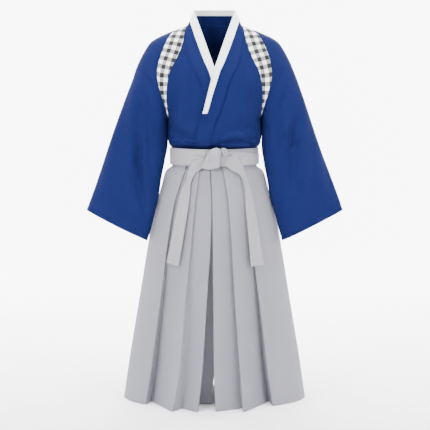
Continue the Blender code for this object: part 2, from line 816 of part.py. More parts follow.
def pleat_value(pleat, z):
    """How far a pleat's fold lies outwards from the middle at a height."""
    places = (pleat.waist, pleat.hip, pleat.knee, pleat.shin, pleat.hem)
    rows = [SeamRow(height, x) for height, x in zip(PLEAT_HEIGHTS[::-1], places[::-1])]
    return follow(rows, "x", z)


def slit_half_width(z):
    """Half the width of the opening at the hakama's side, at a height."""
    return SLIT_HALF_WIDTH * ease(SLIT_BOTTOM_Z, SLIT_CLOSING_Z, z) + SEAM / 2


def leg_section(z, pleats, depth_of, end_at, ends_at_tuck=False):
    """The middle line of a pleated cloth at one height, from the side seam inwards.

    Each point is how far it lies outwards from the middle, and its depth, as a positive number.
    """
    steps = FRONT_ARC_STEPS if depth_of == "front" else BACK_ARC_STEPS
    half_width = follow(HAKAMA, "half_width", z)
    depth = follow(HAKAMA, depth_of, z)
    down = min(max((PLEAT_HEIGHTS[0] - z) / (PLEAT_HEIGHTS[0] - HEM_Z), 0.0), 1.0)
    settled = ease(PLEAT_HEIGHTS[1], HEM_Z, z)

    def outer_form(u):
        return depth * math.sqrt(max(1 - (u / half_width) ** 2, 0.0))

    def layer(u):
        slope = depth**2 * u / (half_width**2 * outer_form(u))
        return PLEAT_LAYER * math.hypot(1, slope)

    first = pleats[0]
    fold_u = pleat_value(first, z)
    slit = slit_half_width(z)
    start_angle = math.asin(slit / depth)
    end_angle = math.acos(fold_u / half_width)
    points = []
    for k in range(steps):
        share = k / steps
        angle = start_angle + (end_angle - start_angle) * share
        points.append((half_width * math.cos(angle), depth * math.sin(angle) - first.set_hem * settled * share))
    before = None
    for index, pleat in enumerate(pleats):
        u = pleat_value(pleat, z)
        face = outer_form(u) - pleat.set_hem * settled
        tuck_u = u + pleat.tuck_waist + (pleat.tuck_hem - pleat.tuck_waist) * down**0.6
        opened = pleat.open_hem * down**1.3
        last = index == len(pleats) - 1
        crest = (u, face - layer(u) / 2)
        if last and ends_at_tuck:
            share = max(end_at - u, 0.0) / (before[0] - u)
            tuck = (end_at, face + (before[1] - face) * share - layer(u) - opened)
            points += fold(points[-1], crest, tuck)
            points.append(tuck)
            break
        if before is None:
            front_at_tuck = outer_form(max(tuck_u, u)) - pleat.set_hem * settled
        else:
            share = (max(tuck_u, u) - u) / (before[0] - u)
            front_at_tuck = face + (before[1] - face) * share
        tuck = (tuck_u, front_at_tuck - 1.5 * layer(tuck_u) - opened)
        if last:
            following = (end_at, min(tuck[1], face - 3 * layer(u)))
        else:
            following_pleat = pleats[index + 1]
            next_u = pleat_value(following_pleat, z)
            following = (next_u, outer_form(next_u) - following_pleat.set_hem * settled)
        past_u = min(u, tuck_u - 0.15 * (tuck_u - following[0]))
        line = following[1] + (tuck[1] - following[1]) * (past_u - following[0]) / (tuck_u - following[0])
        past = (past_u, min(line, face - 2 * layer(u)) if tuck_u > u else line)
        points += fold(points[-1], crest, tuck)
        points += fold(crest, tuck, past)
        points.append(past)
        before = past
        if last:
            points.append(following)
    return points


def fold(before, corner, after):
    """A fold's two points, a layer apart, where a cloth's middle line turns back at a corner."""
    corner = np.array(corner)
    came = unit(corner - np.array(before))
    goes = unit(np.array(after) - corner)
    back = unit(goes - came)
    across = np.array([-back[1], back[0]])
    if np.dot(across, came + goes) < 0.5 * across[1]:
        across = -across
    return [tuple(corner - across * PLEAT_LAYER / 2), tuple(corner + across * PLEAT_LAYER / 2)]


def offset_line(points, distance):
    """A middle line moved sideways, with its corners mitred."""
    points = np.array(points)
    directions = [unit(b - a) for a, b in zip(points, points[1:])]
    moved = []
    for i, point in enumerate(points):
        before = directions[max(i - 1, 0)]
        after = directions[min(i, len(directions) - 1)]
        side_before = np.array([-before[1], before[0]])
        side_after = np.array([-after[1], after[0]])
        mitre = side_before + side_after
        mitre = mitre / max(np.dot(mitre, side_before), 0.35)
        moved.append(point + mitre * distance)
    return moved


def pleated_wall(name, levels, section, side, facing):
    """A pleated cloth from its level sections."""
    outer, inner = [], []
    for z in levels:
        line = section(z)
        for rows, distance in ((outer, WALL / 2), (inner, -WALL / 2)):
            rows.append([(side * u, facing * max(y, SEAM / 2), z) for u, y in offset_line(line, distance)])
    return wall_of_cloth(name, outer, inner, "grey_cloth")


def hakama_front(side_name):
    """A pleated front, from the side to the middle."""
    pleats = FRONT_PLEATS[side_name]
    return pleated_wall(
        f"hakama_front_{side_name}",
        HAKAMA_LEVELS,
        lambda z: leg_section(
            z, pleats, "front", side_end(z, "front", side_name), ends_at_tuck=side_name == "left"
        ),
        SIDES[side_name],
        -1,
    )


def side_end(z, where, side_name):
    """How far outwards from the middle a front or back ends at a height."""
    return follow(INSEAM, f"{where}_{side_name}", z)


def hakama_back(side_name):
    """A back, with one pleat, from the side to the middle."""
    return pleated_wall(
        f"hakama_back_{side_name}",
        HAKAMA_LEVELS,
        lambda z: leg_section(z, BACK_PLEATS, "back", side_end(z, "back", side_name)),
        SIDES[side_name],
        1,
    )


def inner_leg(side_name):
    """The inner side of a leg below the crotch, from the front's edge to the back's."""
    side = SIDES[side_name]
    behind = WALL / 2 + SEAM if side_name == "right" else SEAM
    aside = WALL / 2 if side_name == "right" else 0.0
    outer, inner = [], []
    for z in [level for level in HAKAMA_LEVELS if level < CROTCH_Z]:
        front = leg_section(
            z, FRONT_PLEATS[side_name], "front", side_end(z, "front", side_name), side_name == "left"
        )[-1]
        back = leg_section(z, BACK_PLEATS, "back", side_end(z, "back", side_name))[-1]
        x = side * (side_end(z, "front", side_name) + aside)
        ys = np.linspace(-front[1] + behind, back[1] - WALL / 2 - SEAM, 7)
        outer.append([(x - side * WALL / 2, y, z) for y in ys])
        inner.append([(x + side * WALL / 2, y, z) for y in ys])
    return wall_of_cloth(f"inner_leg_{side_name}", outer, inner, "grey_cloth")


def belt_point(angle, height, lift, facing=-1):
    """A point over the waistband: the angle round it from the middle, and the height from its middle."""
    rise = BELT_SIDE_RISE * (math.sin(angle) ** 2 if facing < 0 else 1.0)
    x = (BELT_HALF_WIDTH + lift) * math.sin(angle)
    y = facing * (BELT_HALF_DEPTH + lift) * math.cos(angle)
    if facing * y < SEAM / 2:
        y = facing * SEAM / 2
    return x, y, height + rise


def belt_strip(name, edges, lift, cloth, facing=-1, thickness=BELT_WALL, columns=3):
    """A strip on the waistband. edges holds an angle, a bottom and a top height for each station."""
    outer, inner = [], []
    for angle, bottom, top in edges:
        heights = np.linspace(bottom, top, columns)
        outer.append([belt_point(angle, height, lift, facing) for height in heights])
        inner.append([belt_point(angle, height, lift - thickness, facing) for height in heights])
    return wall_of_cloth(name, outer, inner, cloth)


def waistband(facing):
    """Half of the waistband."""
    half = BELT_HEIGHT / 2
    angles = np.linspace(-math.pi / 2, math.pi / 2, BELT_STEPS + 1)
    name = "waistband_front" if facing < 0 else "waistband_back"
    return belt_strip(name, [(angle, -half, half) for angle in angles], 0.0, "grey_cloth", facing)


def belt_angle(x):
    """The angle round the waistband at a distance from the middle."""
    return math.asin(x / BELT_HALF_WIDTH)


def ties():
    """The ties that lie on the waistband: one from each side to the knot, and the upper layer."""
    half = BELT_HEIGHT / 2
    first_lift = SEAM + BELT_WALL
    second_lift = 2 * first_lift
    right_edges = []
    for angle in np.linspace(-math.pi / 2, belt_angle(-TIE_END_X), TIE_STEPS + 1):
        right_edges.append((angle, -half + TIE_INSET, half - TIE_INSET))
    belt_strip("tie_right", right_edges, first_lift, "grey_tie")
    wrap_edges = []
    for angle in np.linspace(belt_angle(WRAP_OUTER_X), belt_angle(WRAP_INNER_X), WRAP_STEPS + 1):
        wrap_edges.append((angle, -half + WRAP_BOTTOM_INSET, half - WRAP_TOP_INSET))
    belt_strip("tie_wrap", wrap_edges, second_lift, "grey_tie")
    left_edges = []
    for share in np.linspace(0, 1, TIE_STEPS + 1):
        angle = math.pi / 2 + (belt_angle(TIE_END_X) - math.pi / 2) * share
        left_edges.append((angle, -half + TIE_INSET, TIE_LEFT_TOP + TIE_LEFT_RISE * ease(0.1, 0.8, share)))
    belt_strip("tie_left", left_edges, first_lift, "grey_tie")


def back_board():
    """The stiff trapezoid at the small of the back, rising from the waistband's top edge."""
    bottom_z = BELT_HEIGHT / 2 + BELT_SIDE_RISE + SEAM
    outer, inner = [], []
    for z in np.linspace(bottom_z, BOARD_TOP_Z, BOARD_ROWS + 1):
        half = BOARD_HALF_WIDTH - BOARD_TAPER * (z - bottom_z) / (BOARD_TOP_Z - bottom_z)
        row_outer, row_inner = [], []
        for x in np.linspace(-half, half, BOARD_COLUMNS + 1):
            over_band = (BELT_HALF_DEPTH - BOARD_WALL) * math.sqrt(1 - (x / BELT_HALF_WIDTH) ** 2)
            over_jacket = torso(round_at(lambda _z: abs(x), z, 1), z, 1)[1] + BOARD_LIFT
            depth = max(over_band, over_jacket)
            outwards = unit(np.array([x / BELT_HALF_WIDTH**2, depth / BELT_HALF_DEPTH**2, 0.0]))
            base = np.array([x, depth, z])
            row_outer.append(base + outwards * BOARD_WALL)
            row_inner.append(base)
        outer.append(row_outer)
        inner.append(row_inner)
    return wall_of_cloth("back_board", outer, inner, "grey_cloth")


def rounded_lump(name, centre, half_size, slant):
    """A soft closed lump of folded cloth. slant shifts it sideways with height."""
    bpy.ops.mesh.primitive_uv_sphere_add(segments=LUMP_SEGMENTS, ring_count=LUMP_RINGS, radius=1.0)
    made = bpy.context.object
    made.name = name
    made.data.name = name
    for vertex in made.data.vertices:
        form = [math.copysign(abs(value) ** KNOT_ROUNDING, value) for value in vertex.co]
        z = centre[2] + half_size[2] * form[2]
        x = centre[0] + half_size[0] * form[0] + slant * (z - centre[2])
        vertex.co = (x, centre[1] + half_size[1] * form[1], z)
    made.data.materials.append(material("grey_tie"))
    made.data.shade_smooth()
    for collection in list(made.users_collection):
        collection.objects.unlink(made)
    bpy.data.collections["hakama_uniform"].objects.link(made)
    return made


def knot():
    """The knot: a folded core, the wrap drawn over it, and the small loop beside it."""
    rounded_lump("knot_core", KNOT_CENTRE, KNOT_HALF_SIZE, KNOT_SLANT)
    rounded_lump("knot_loop", KNOT_LOOP_CENTRE, KNOT_LOOP_HALF_SIZE, KNOT_LOOP_SLANT)
    outer, inner = [], []
    for angle in np.radians(np.linspace(-KNOT_WRAP_REACH, KNOT_WRAP_REACH, 13)):
        row_outer, row_inner = [], []
        for x in np.linspace(-KNOT_WRAP_HALF_WIDTH, KNOT_WRAP_HALF_WIDTH, 5):
            for row, grow in ((row_outer, KNOT_WRAP_OUTER), (row_inner, KNOT_WRAP_INNER)):
                z = KNOT_CENTRE[2] + (KNOT_HALF_SIZE[2] + grow) * math.sin(angle)
                y = KNOT_CENTRE[1] - (KNOT_HALF_SIZE[1] + grow) * math.cos(angle) ** KNOT_ROUNDING
                row.append((KNOT_CENTRE[0] + x + KNOT_SLANT * (z - KNOT_CENTRE[2]), y, z))
        outer.append(row_outer)
        inner.append(row_inner)
    wall_of_cloth("knot_wrap", outer, inner, "grey_tie")


def in_front(x, z):
    """The depth that is just clear of the belt's ties and of the hakama's front, as a positive number."""
    lift = TAIL_OVER_BELT["left" if x > 0 else "right"]
    belt = (BELT_HALF_DEPTH + lift) * math.sqrt(max(1 - (x / (BELT_HALF_WIDTH + lift)) ** 2, 0.0))
    half_width = follow(HAKAMA, "half_width", z)
    clear = TAIL_CLEARANCE * (0.55 + 0.45 * ease(-0.10, -0.25, z))
    cloth = follow(HAKAMA, "front", z) * math.sqrt(max(1 - (x / half_width) ** 2, 0.0)) + clear
    return max(cloth, belt) if z > -0.060 else cloth + max(belt - cloth, 0.0) * ease(-0.14, -0.060, z)


def tail(side_name):
    """A hanging end of the tie, from the knot down the front of the hakama."""
    rows = TAILS[side_name]
    outer, inner = [], []
    for k in range(TAIL_ROWS + 1):
        along = k / TAIL_ROWS * (len(rows) - 1)
        first = min(int(along), len(rows) - 2)
        values = smooth_row(rows, first, along - first)
        row_outer, row_inner = [], []
        for share in TAIL_SHARES:
            x = values.outer_x + (values.inner_x - values.outer_x) * share
            z = values.outer_z + (values.inner_z - values.outer_z) * share
            y = in_front(x, z)
            row_inner.append((x, -y, z))
            row_outer.append((x, -y - BELT_WALL, z))
        outer.append(row_outer)
        inner.append(row_inner)
    return wall_of_cloth(f"tail_{side_name}", outer, inner, "grey_tie")


def smooth_row(rows, first, t):
    """A tie's station between two others, on a smooth curve through all of them."""
    before, start, end, after = (np.array(rows[min(max(first + i, 0), len(rows) - 1)]) for i in (-1, 0, 1, 2))
    return TailRow(*(
        0.5 * (2 * start + (end - before) * t + (2 * before - 5 * start + 4 * end - after) * t**2
               + (3 * start - before - 3 * end + after) * t**3)
    ))


def main():
    """Builds the garment."""
    for old in list(bpy.data.objects):
        bpy.data.objects.remove(old, do_unlink=True)
    collection = bpy.data.collections.new("hakama_uniform")
    bpy.context.scene.collection.children.link(collection)
    jacket_back()
    for side_name in SIDES:
        jacket_front(side_name)
        check_insert(side_name)
        shoulder(side_name)
        sleeve(side_name)
        hakama_front(side_name)
        hakama_back(side_name)
        inner_leg(side_name)
        tail(side_name)
    collar()
    waistband(-1)
    waistband(1)
    ties()
    knot()
    back_board()


main()
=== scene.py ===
"""Dresses the hakama uniform: cloth shells with their folds, seams and stitches, the studio and the camera.

Metres, +Z up. The front faces -Y and the wearer's left is +X. Left and right are the wearer's own.
"""

import logging
import math
from dataclasses import dataclass, field
from enum import Enum
from typing import Iterable, NamedTuple, Sequence

import bpy
import numpy as np
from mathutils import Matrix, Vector
from mathutils.bvhtree import BVHTree


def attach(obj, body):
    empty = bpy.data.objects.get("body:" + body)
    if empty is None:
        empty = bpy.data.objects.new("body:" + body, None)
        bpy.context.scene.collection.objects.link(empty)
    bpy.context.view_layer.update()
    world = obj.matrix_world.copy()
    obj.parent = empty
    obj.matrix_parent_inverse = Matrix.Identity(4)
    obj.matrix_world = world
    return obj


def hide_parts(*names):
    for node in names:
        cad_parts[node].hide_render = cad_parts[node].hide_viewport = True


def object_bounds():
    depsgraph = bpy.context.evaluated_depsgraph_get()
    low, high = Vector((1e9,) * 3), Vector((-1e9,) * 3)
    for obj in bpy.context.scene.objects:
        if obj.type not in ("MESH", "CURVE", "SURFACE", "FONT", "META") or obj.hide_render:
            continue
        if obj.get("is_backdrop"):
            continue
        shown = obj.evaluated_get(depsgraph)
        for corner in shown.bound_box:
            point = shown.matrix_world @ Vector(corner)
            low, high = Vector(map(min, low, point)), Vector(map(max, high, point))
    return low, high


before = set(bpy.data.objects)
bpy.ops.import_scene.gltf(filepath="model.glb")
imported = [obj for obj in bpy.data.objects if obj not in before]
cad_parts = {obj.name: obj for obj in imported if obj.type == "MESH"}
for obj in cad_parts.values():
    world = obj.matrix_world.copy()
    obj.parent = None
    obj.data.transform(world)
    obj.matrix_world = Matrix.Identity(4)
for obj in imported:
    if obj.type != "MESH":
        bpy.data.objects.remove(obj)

LOG = logging.getLogger("hakama_uniform")
BODY_NAME = "root"
PHOTO_SIDE = 430

# Sizes that the solids have too
WALL = 0.0016
BAND_WALL = 0.0016
WHITE_WALL = 0.0012
BELT_WALL = 0.0020
BOARD_WALL = 0.0040
BOARD_LIFT = 0.0025
SEAM = 0.0003
HEM_Z = -0.872
HAKAMA_TOP_Z = 0.012
CROTCH_Z = -0.420
JACKET_HEM_Z = -0.165
UNDERARM_Z = 0.138
BELT_HEIGHT = 0.059
BELT_SIDE_RISE = 0.0045
BELT_HALF_WIDTH = 0.1577
BELT_HALF_DEPTH = 0.1122
ARMHOLE_HALF_DEPTH = 0.062
PLEAT_LAYER = 0.0025
SLIT_HALF_WIDTH = 0.030
SLIT_BOTTOM_Z = -0.190
SLIT_CLOSING_Z = -0.120
OVER_FRONT_LIFT = 0.0050
BAND_LIFT = 0.0022
BAND_TRIM = 0.0004
CROSSING_LIFT = 0.0080
WHITE_LIFT = 0.0005
WHITE_END_Z = 0.151
WHITE_UNDER_END_Z = 0.250
NECK_BACK_DEPTH = 0.083
NECK_RIM_BACK_DEPTH = 0.065
NECK_BACK_Z = 0.470
NECK_RIM_BACK_Z = 0.524
CUFF_OUTER_X = 0.458
CUFF_OUTER_Z = -0.188
CUFF_INNER_Z = -0.295
TAIL_CLEARANCE = 0.0050
TAIL_OVER_BELT = {"left": 0.0028, "right": 0.0051}
KNOT_CENTRE = (-0.006, -0.1235, -0.002)
KNOT_HALF_SIZE = (0.022, 0.0105, 0.034)
KNOT_SLANT = 0.32
KNOT_LOOP_CENTRE = (0.0340, -0.1187, 0.021)
KNOT_LOOP_HALF_SIZE = (0.0115, 0.0065, 0.014)
KNOT_LOOP_SLANT = -0.25
SIDES = {"left": 1, "right": -1}

# Cloth surfaces
SHARP_DEGREES = 50
CUT_TURN_DEGREES = 3
CRINKLE_DEPTH = 0.0016
WEAVE_DEPTH = 0.0002
CRINKLE_SCALE = 34.0
SLUB_SCALE = 420.0
CLOTH_SPECULAR = 0.12
CREASE_BANK = 0.35
CREASE_BANK_AT = 1.9
CREASE_TAPER = 0.6
CREASE_UNEVEN = 0.18
SLOPE_STEP = 0.004

# The jacket's form
SIDE_ROUNDING = 1.2
CHEST_ROUNDING = 2.6
CHEST_FLAT_AT = 0.35
OVER_EDGE_X = (0.130, 0.085)
OVER_EDGE_Z = (0.335, 0.290)
CROSSING_TOP_Z = (0.40, 0.35)
CROSSING_BOTTOM_Z = (0.16, 0.21)
QUIET_UNDER_BELT_Z = (0.032, 0.042)
BACK_SMOOTH_FROM = (0.30, 0.45)
BACK_SMOOTH_TO = (0.86, 0.985)
BACK_SMOOTH_TURNS = 40
CUFF_GROOVE = 0.0007
CUFF_GROOVE_WIDTH = 0.004
SLEEVE_WAVE = 0.0018

# The belt's forms
BOARD_TOP_Z = 0.118
BOARD_HALF_WIDTH = 0.112
BOARD_TAPER = 0.030
TAIL_STEPS = 90
TAIL_COLUMNS = 17
TAIL_FOLDS = (0.27, 0.5, 0.74)
TAIL_FOLD_WIDTH = 0.035
TAIL_FOLD_DEPTH = 0.0013
TAIL_SWELL = 0.0022
TAIL_RIPPLE = 0.0012
LUMP_RINGS = 46
LUMP_SEGMENTS = 72
LUMP_ROUNDING = 0.75
WRAP_OUTER_LIFT = 0.0038
WRAP_INNER_LIFT = 0.0010
WRAP_HALF_WIDTH = 0.0255
WRAP_TAPER = 0.0065
WRAP_ROUNDING = 0.20
WRAP_EDGE_DROP = 0.55

# Sewing
STITCH_LIFT = 0.0002
SEWN_OVERLAP = 0.0012
THREAD_RADIUS = 0.00028
UNDERARM_REACH = 0.030
STITCH_PITCH = 0.0034
STITCH_LENGTH = 0.0024
HAKAMA_HEM_STITCH = 0.015
CUFF_STITCH = 0.016
EDGE_STITCH = 0.0025
SEAM_PRESS = 0.0011
SEAM_PRESS_REACH = 0.0022
SEAM_COLUMNS = (0.0013, 0.0032, 0.0060)
WHITE_COLUMN = 10
LEAST_FILL = 0.31


class BodyRow(NamedTuple):
    """A level section of the jacket below the underarm."""

    z: float
    half_width: float
    front: float
    back: float


class ChestRow(NamedTuple):
    """The jacket's depth at the middle, by the share of the way up to the shoulder ridge."""

    up: float
    front: float
    back: float


class SeamRow(NamedTuple):
    """A point of a seam as seen from the front."""

    z: float
    x: float


class CollarRow(NamedTuple):
    """A station of the neck band: its seam, its free rim, and the white strip's share of it."""

    seam_z: float
    seam_x: float
    rim_z: float
    rim_x: float
    white: float


class SleeveRow(NamedTuple):
    """A section of a sleeve, by the share of the way from armhole to cuff."""

    along: float
    inner_x: float
    inner_y: float
    outer_y: float
    half_depth: float


class HakamaRow(NamedTuple):
    """The hakama's outer form at one height."""

    z: float
    half_width: float
    front: float
    back: float


class PleatRow(NamedTuple):
    """A knife pleat: its fold's distance from the middle at five heights, and how its tuck opens."""

    waist: float
    hip: float
    knee: float
    shin: float
    hem: float
    set_hem: float
    tuck_waist: float
    tuck_hem: float
    open_hem: float


class InseamRow(NamedTuple):
    """How far each leg's inner edge lies outwards from the middle, front and back."""

    z: float
    front_right: float
    front_left: float
    back_right: float
    back_left: float


class TailRow(NamedTuple):
    """A station of a hanging tie: its outer and its inner edge as seen from the front."""

    outer_x: float
    outer_z: float
    inner_x: float
    inner_z: float


class LampRow(NamedTuple):
    """A soft square lamp: where it is, what it is aimed at, its side and its power."""

    name: str
    place: tuple[float, float, float]
    aim: tuple[float, float, float]
    size: float
    power: float


def table(kind: type[NamedTuple], *rows: tuple[float, ...]) -> tuple:
    """Named rows from plain ones."""
    return tuple(kind(*row) for row in rows)


BODY = table(
    BodyRow,
    (-0.165, 0.2065, 0.1040, 0.114),
    (-0.121, 0.1950, 0.1005, 0.109),
    (-0.089, 0.1860, 0.0970, 0.103),
    (-0.065, 0.1805, 0.0940, 0.099),
    (-0.046, 0.1710, 0.0870, 0.095),
    (-0.030, 0.1510, 0.0810, 0.090),
    (0.030, 0.1510, 0.0810, 0.090),
    (0.048, 0.1630, 0.1050, 0.106),
    (0.085, 0.1680, 0.116, 0.112),
    (0.138, 0.1657, 0.118, 0.115),
)
CHEST = table(
    ChestRow,
    (0.0, 0.118, 0.115),
    (0.2, 0.120, 0.119),
    (0.4, 0.116, 0.121),
    (0.6, 0.101, 0.117),
    (0.8, 0.076, 0.104),
    (0.92, 0.050, 0.083),
    (0.975, 0.028, 0.046),
    (1.0, 0.0, 0.0),
)
ARMHOLE = table(
    SeamRow,
    (0.138, 0.1657),
    (0.180, 0.1780),
    (0.219, 0.1925),
    (0.237, 0.2010),
    (0.272, 0.2255),
    (0.297, 0.2470),
    (0.322, 0.2748),
)
RIDGE = table(
    SeamRow,
    (0.5006, 0.0),
    (0.464, 0.094),
    (0.427, 0.189),
    (0.406, 0.2245),
    (0.364, 0.2533),
    (0.322, 0.2748),
)
CHECK_INNER_SEAM = table(
    SeamRow,
    (0.138, 0.1638),
    (0.165, 0.1660),
    (0.211, 0.1683),
    (0.239, 0.1669),
    (0.273, 0.1621),
    (0.300, 0.1545),
    (0.328, 0.1400),
    (0.353, 0.1275),
    (0.382, 0.1155),
    (0.410, 0.1085),
    (0.433, 0.1050),
    (0.464, 0.0990),
)
CHECK_OUTER_SEAM = table(
    SeamRow,
    (0.138, 0.1648),
    (0.180, 0.1747),
    (0.218, 0.1860),
    (0.250, 0.1945),
    (0.288, 0.2008),
    (0.322, 0.1972),
    (0.370, 0.1832),
    (0.414, 0.1641),
    (0.432, 0.1535),
    (0.445, 0.1400),
)
COLLAR = table(
    CollarRow,
    (0.464, 0.0940, 0.516, 0.0726, 0.70),
    (0.437, 0.1005, 0.487, 0.0624, 0.52),
    (0.408, 0.1027, 0.452, 0.0500, 0.43),
    (0.370, 0.0950, 0.415, 0.0369, 0.40),
    (0.335, 0.0845, 0.375, 0.0228, 0.38),
    (0.304, 0.0730, 0.338, 0.0097, 0.36),
    (0.285, 0.0620, 0.3105, 0.0, 0.345),
    (0.252, 0.0485, 0.270, -0.0105, 0.33),
    (0.211, 0.0351, 0.226, -0.0216, 0.30),
    (0.178, 0.0255, 0.188, -0.0312, 0.285),
    (0.154, 0.0186, 0.154, -0.0400, 0.27),
    (0.130, 0.0050, 0.130, -0.0495, 0.27),
    (0.105, -0.0015, 0.105, -0.0560, 0.27),
    (0.075, -0.0080, 0.075, -0.0620, 0.27),
    (0.048, -0.0125, 0.048, -0.0665, 0.27),
    (0.030, -0.0150, 0.030, -0.0680, 0.27),
    (-0.030, -0.0180, -0.030, -0.0710, 0.27),
    (-0.046, -0.0190, -0.046, -0.0720, 0.27),
    (-0.089, -0.0200, -0.089, -0.0740, 0.27),
    (-0.165, -0.0220, -0.165, -0.0760, 0.27),
)
SLEEVE = table(
    SleeveRow,
    (0.0, 0.1657, 0.0, 0.0, 0.062),
    (0.08, 0.1662, -0.004, 0.0, 0.061),
    (0.20, 0.1655, -0.012, -0.003, 0.059),
    (0.35, 0.1745, -0.022, -0.006, 0.055),
    (0.50, 0.1880, -0.036, -0.010, 0.050),
    (0.65, 0.1985, -0.052, -0.014, 0.046),
    (0.80, 0.2155, -0.058, -0.018, 0.041),
    (0.92, 0.2280, -0.054, -0.020, 0.037),
    (1.0, 0.2390, -0.050, -0.020, 0.034),
)
HAKAMA = table(
    HakamaRow,
    (-0.872, 0.3300, 0.2100, 0.200),
    (-0.740, 0.3107, 0.1980, 0.192),
    (-0.520, 0.2735, 0.1780, 0.180),
    (-0.300, 0.2364, 0.1570, 0.165),
    (-0.165, 0.2111, 0.1400, 0.149),
    (-0.121, 0.1955, 0.1310, 0.137),
    (-0.089, 0.1860, 0.1245, 0.127),
    (-0.065, 0.1810, 0.1205, 0.121),
    (-0.046, 0.1720, 0.1165, 0.116),
    (-0.030, 0.1535, 0.1080, 0.108),
    (0.012, 0.1535, 0.1080, 0.108),
)
PLEAT_HEIGHTS = (-0.040, -0.170, -0.520, -0.745, HEM_Z)
FRONT_PLEATS = {
    "right": table(
        PleatRow,
        (0.1020, 0.1420, 0.194, 0.2250, 0.246, 0.024, 0.018, -0.021, 0.037),
        (0.0520, 0.0690, 0.105, 0.1245, 0.148, -0.013, 0.026, -0.033, 0.035),
        (0.0168, 0.0116, 0.030, 0.0450, 0.059, -0.001, 0.020, -0.0065, 0.090),
    ),
    "left": table(
        PleatRow,
        (0.0885, 0.1120, 0.1605, 0.187, 0.207, 0.032, 0.020, -0.0125, 0.048),
        (0.0310, 0.0500, 0.0740, 0.091, 0.101, -0.008, 0.026, -0.0050, 0.042),
        (-0.0124, -0.0064, -0.0020, 0.000, 0.0055, 0.009, 0.0, 0.0, 0.080),
    ),
}
BACK_PLEATS = (PleatRow(0.0300, 0.0360, 0.055, 0.066, 0.072, 0.004, 0.030, -0.010, 0.030),)
INSEAM = table(
    InseamRow,
    (-0.872, 0.0100, 0.0060, 0.0100, 0.0060),
    (-0.800, 0.0045, 0.0050, 0.0045, 0.0050),
    (-0.745, 0.0005, 0.0045, 0.0005, 0.0045),
    (-0.520, 0.0, 0.0035, 0.0003, 0.0035),
    (-0.420, 0.0, 0.0011, 0.00015, 0.00015),
    (0.012, 0.0, 0.0, 0.00015, 0.00015),
)
TAILS = {
    "right": table(
        TailRow,
        (-0.0460, 0.0040, -0.0300, -0.0150),
        (-0.0745, -0.0130, -0.0455, -0.0365),
        (-0.0890, -0.0330, -0.0665, -0.0530),
        (-0.0960, -0.0720, -0.0800, -0.0780),
        (-0.1120, -0.1080, -0.0850, -0.1030),
        (-0.1260, -0.1550, -0.0880, -0.1470),
        (-0.1460, -0.2600, -0.1060, -0.2620),
        (-0.1670, -0.3620, -0.1250, -0.3730),
    ),
    "left": table(
        TailRow,
        (0.0640, 0.0150, 0.0330, -0.0180),
        (0.0870, -0.0050, 0.0520, -0.0380),
        (0.1030, -0.0360, 0.0850, -0.0560),
        (0.1150, -0.0760, 0.1000, -0.0790),
        (0.1290, -0.1180, 0.1080, -0.1150),
        (0.1390, -0.1660, 0.1085, -0.1660),
        (0.1560, -0.2660, 0.1180, -0.2680),
        (0.1740, -0.3700, 0.1270, -0.3740),
    ),
}


class Curve:
    """A smooth curve through two columns of a table that doesn't overshoot."""

    def __init__(self, rows: Sequence[NamedTuple], value: str, key: str = "z") -> None:
        """Reads the columns.

        Args:
            rows: the table.
            value: the column that the curve gives.
            key: the column that it is read by.
        """
        ordered = sorted(rows, key=lambda row: getattr(row, key))
        self.keys = np.array([getattr(row, key) for row in ordered])
        self.values = np.array([getattr(row, value) for row in ordered])
        steps = np.diff(self.values) / np.diff(self.keys)
        before = np.array([steps[0], *steps])
        after = np.array([*steps, steps[-1]])
        product = before * after
        total = np.where(product > 0, before + after, 1.0)
        self.tangents = np.where(product > 0, 2 * product / total, 0.0)

    def __call__(self, at: np.ndarray | float) -> np.ndarray:
        """The curve's value at one key or at many."""
        at = np.clip(at, self.keys[0], self.keys[-1])
        k = np.clip(np.searchsorted(self.keys, at, side="right") - 1, 0, len(self.keys) - 2)
        width = self.keys[k + 1] - self.keys[k]
        t = (at - self.keys[k]) / width
        return (
            (2 * t**3 - 3 * t**2 + 1) * self.values[k]
            + (t**3 - 2 * t**2 + t) * width * self.tangents[k]
            + (3 * t**2 - 2 * t**3) * self.values[k + 1]
            + (t**3 - t**2) * width * self.tangents[k + 1]
        )


def ease(start: float, end: float, at: np.ndarray | float) -> np.ndarray:
    """Rises smoothly from 0 at start to 1 at end."""
    t = np.clip((np.asarray(at, float) - start) / (end - start), 0.0, 1.0)
    return t * t * (3 - 2 * t)


def unit(vectors: np.ndarray) -> np.ndarray:
    """Vectors at length 1, along the last axis."""
    return vectors / np.linalg.norm(vectors, axis=-1, keepdims=True)


def grid_normals(grid: np.ndarray, closed: bool = False) -> np.ndarray:
    """The normal at each point of a grid, from its neighbours along the row and the column."""
    along = np.gradient(grid, axis=0)
    if closed:
        across = np.roll(grid, -1, axis=1) - np.roll(grid, 1, axis=1)
    else:
        across = np.gradient(grid, axis=1)
    return unit(np.cross(across, along))


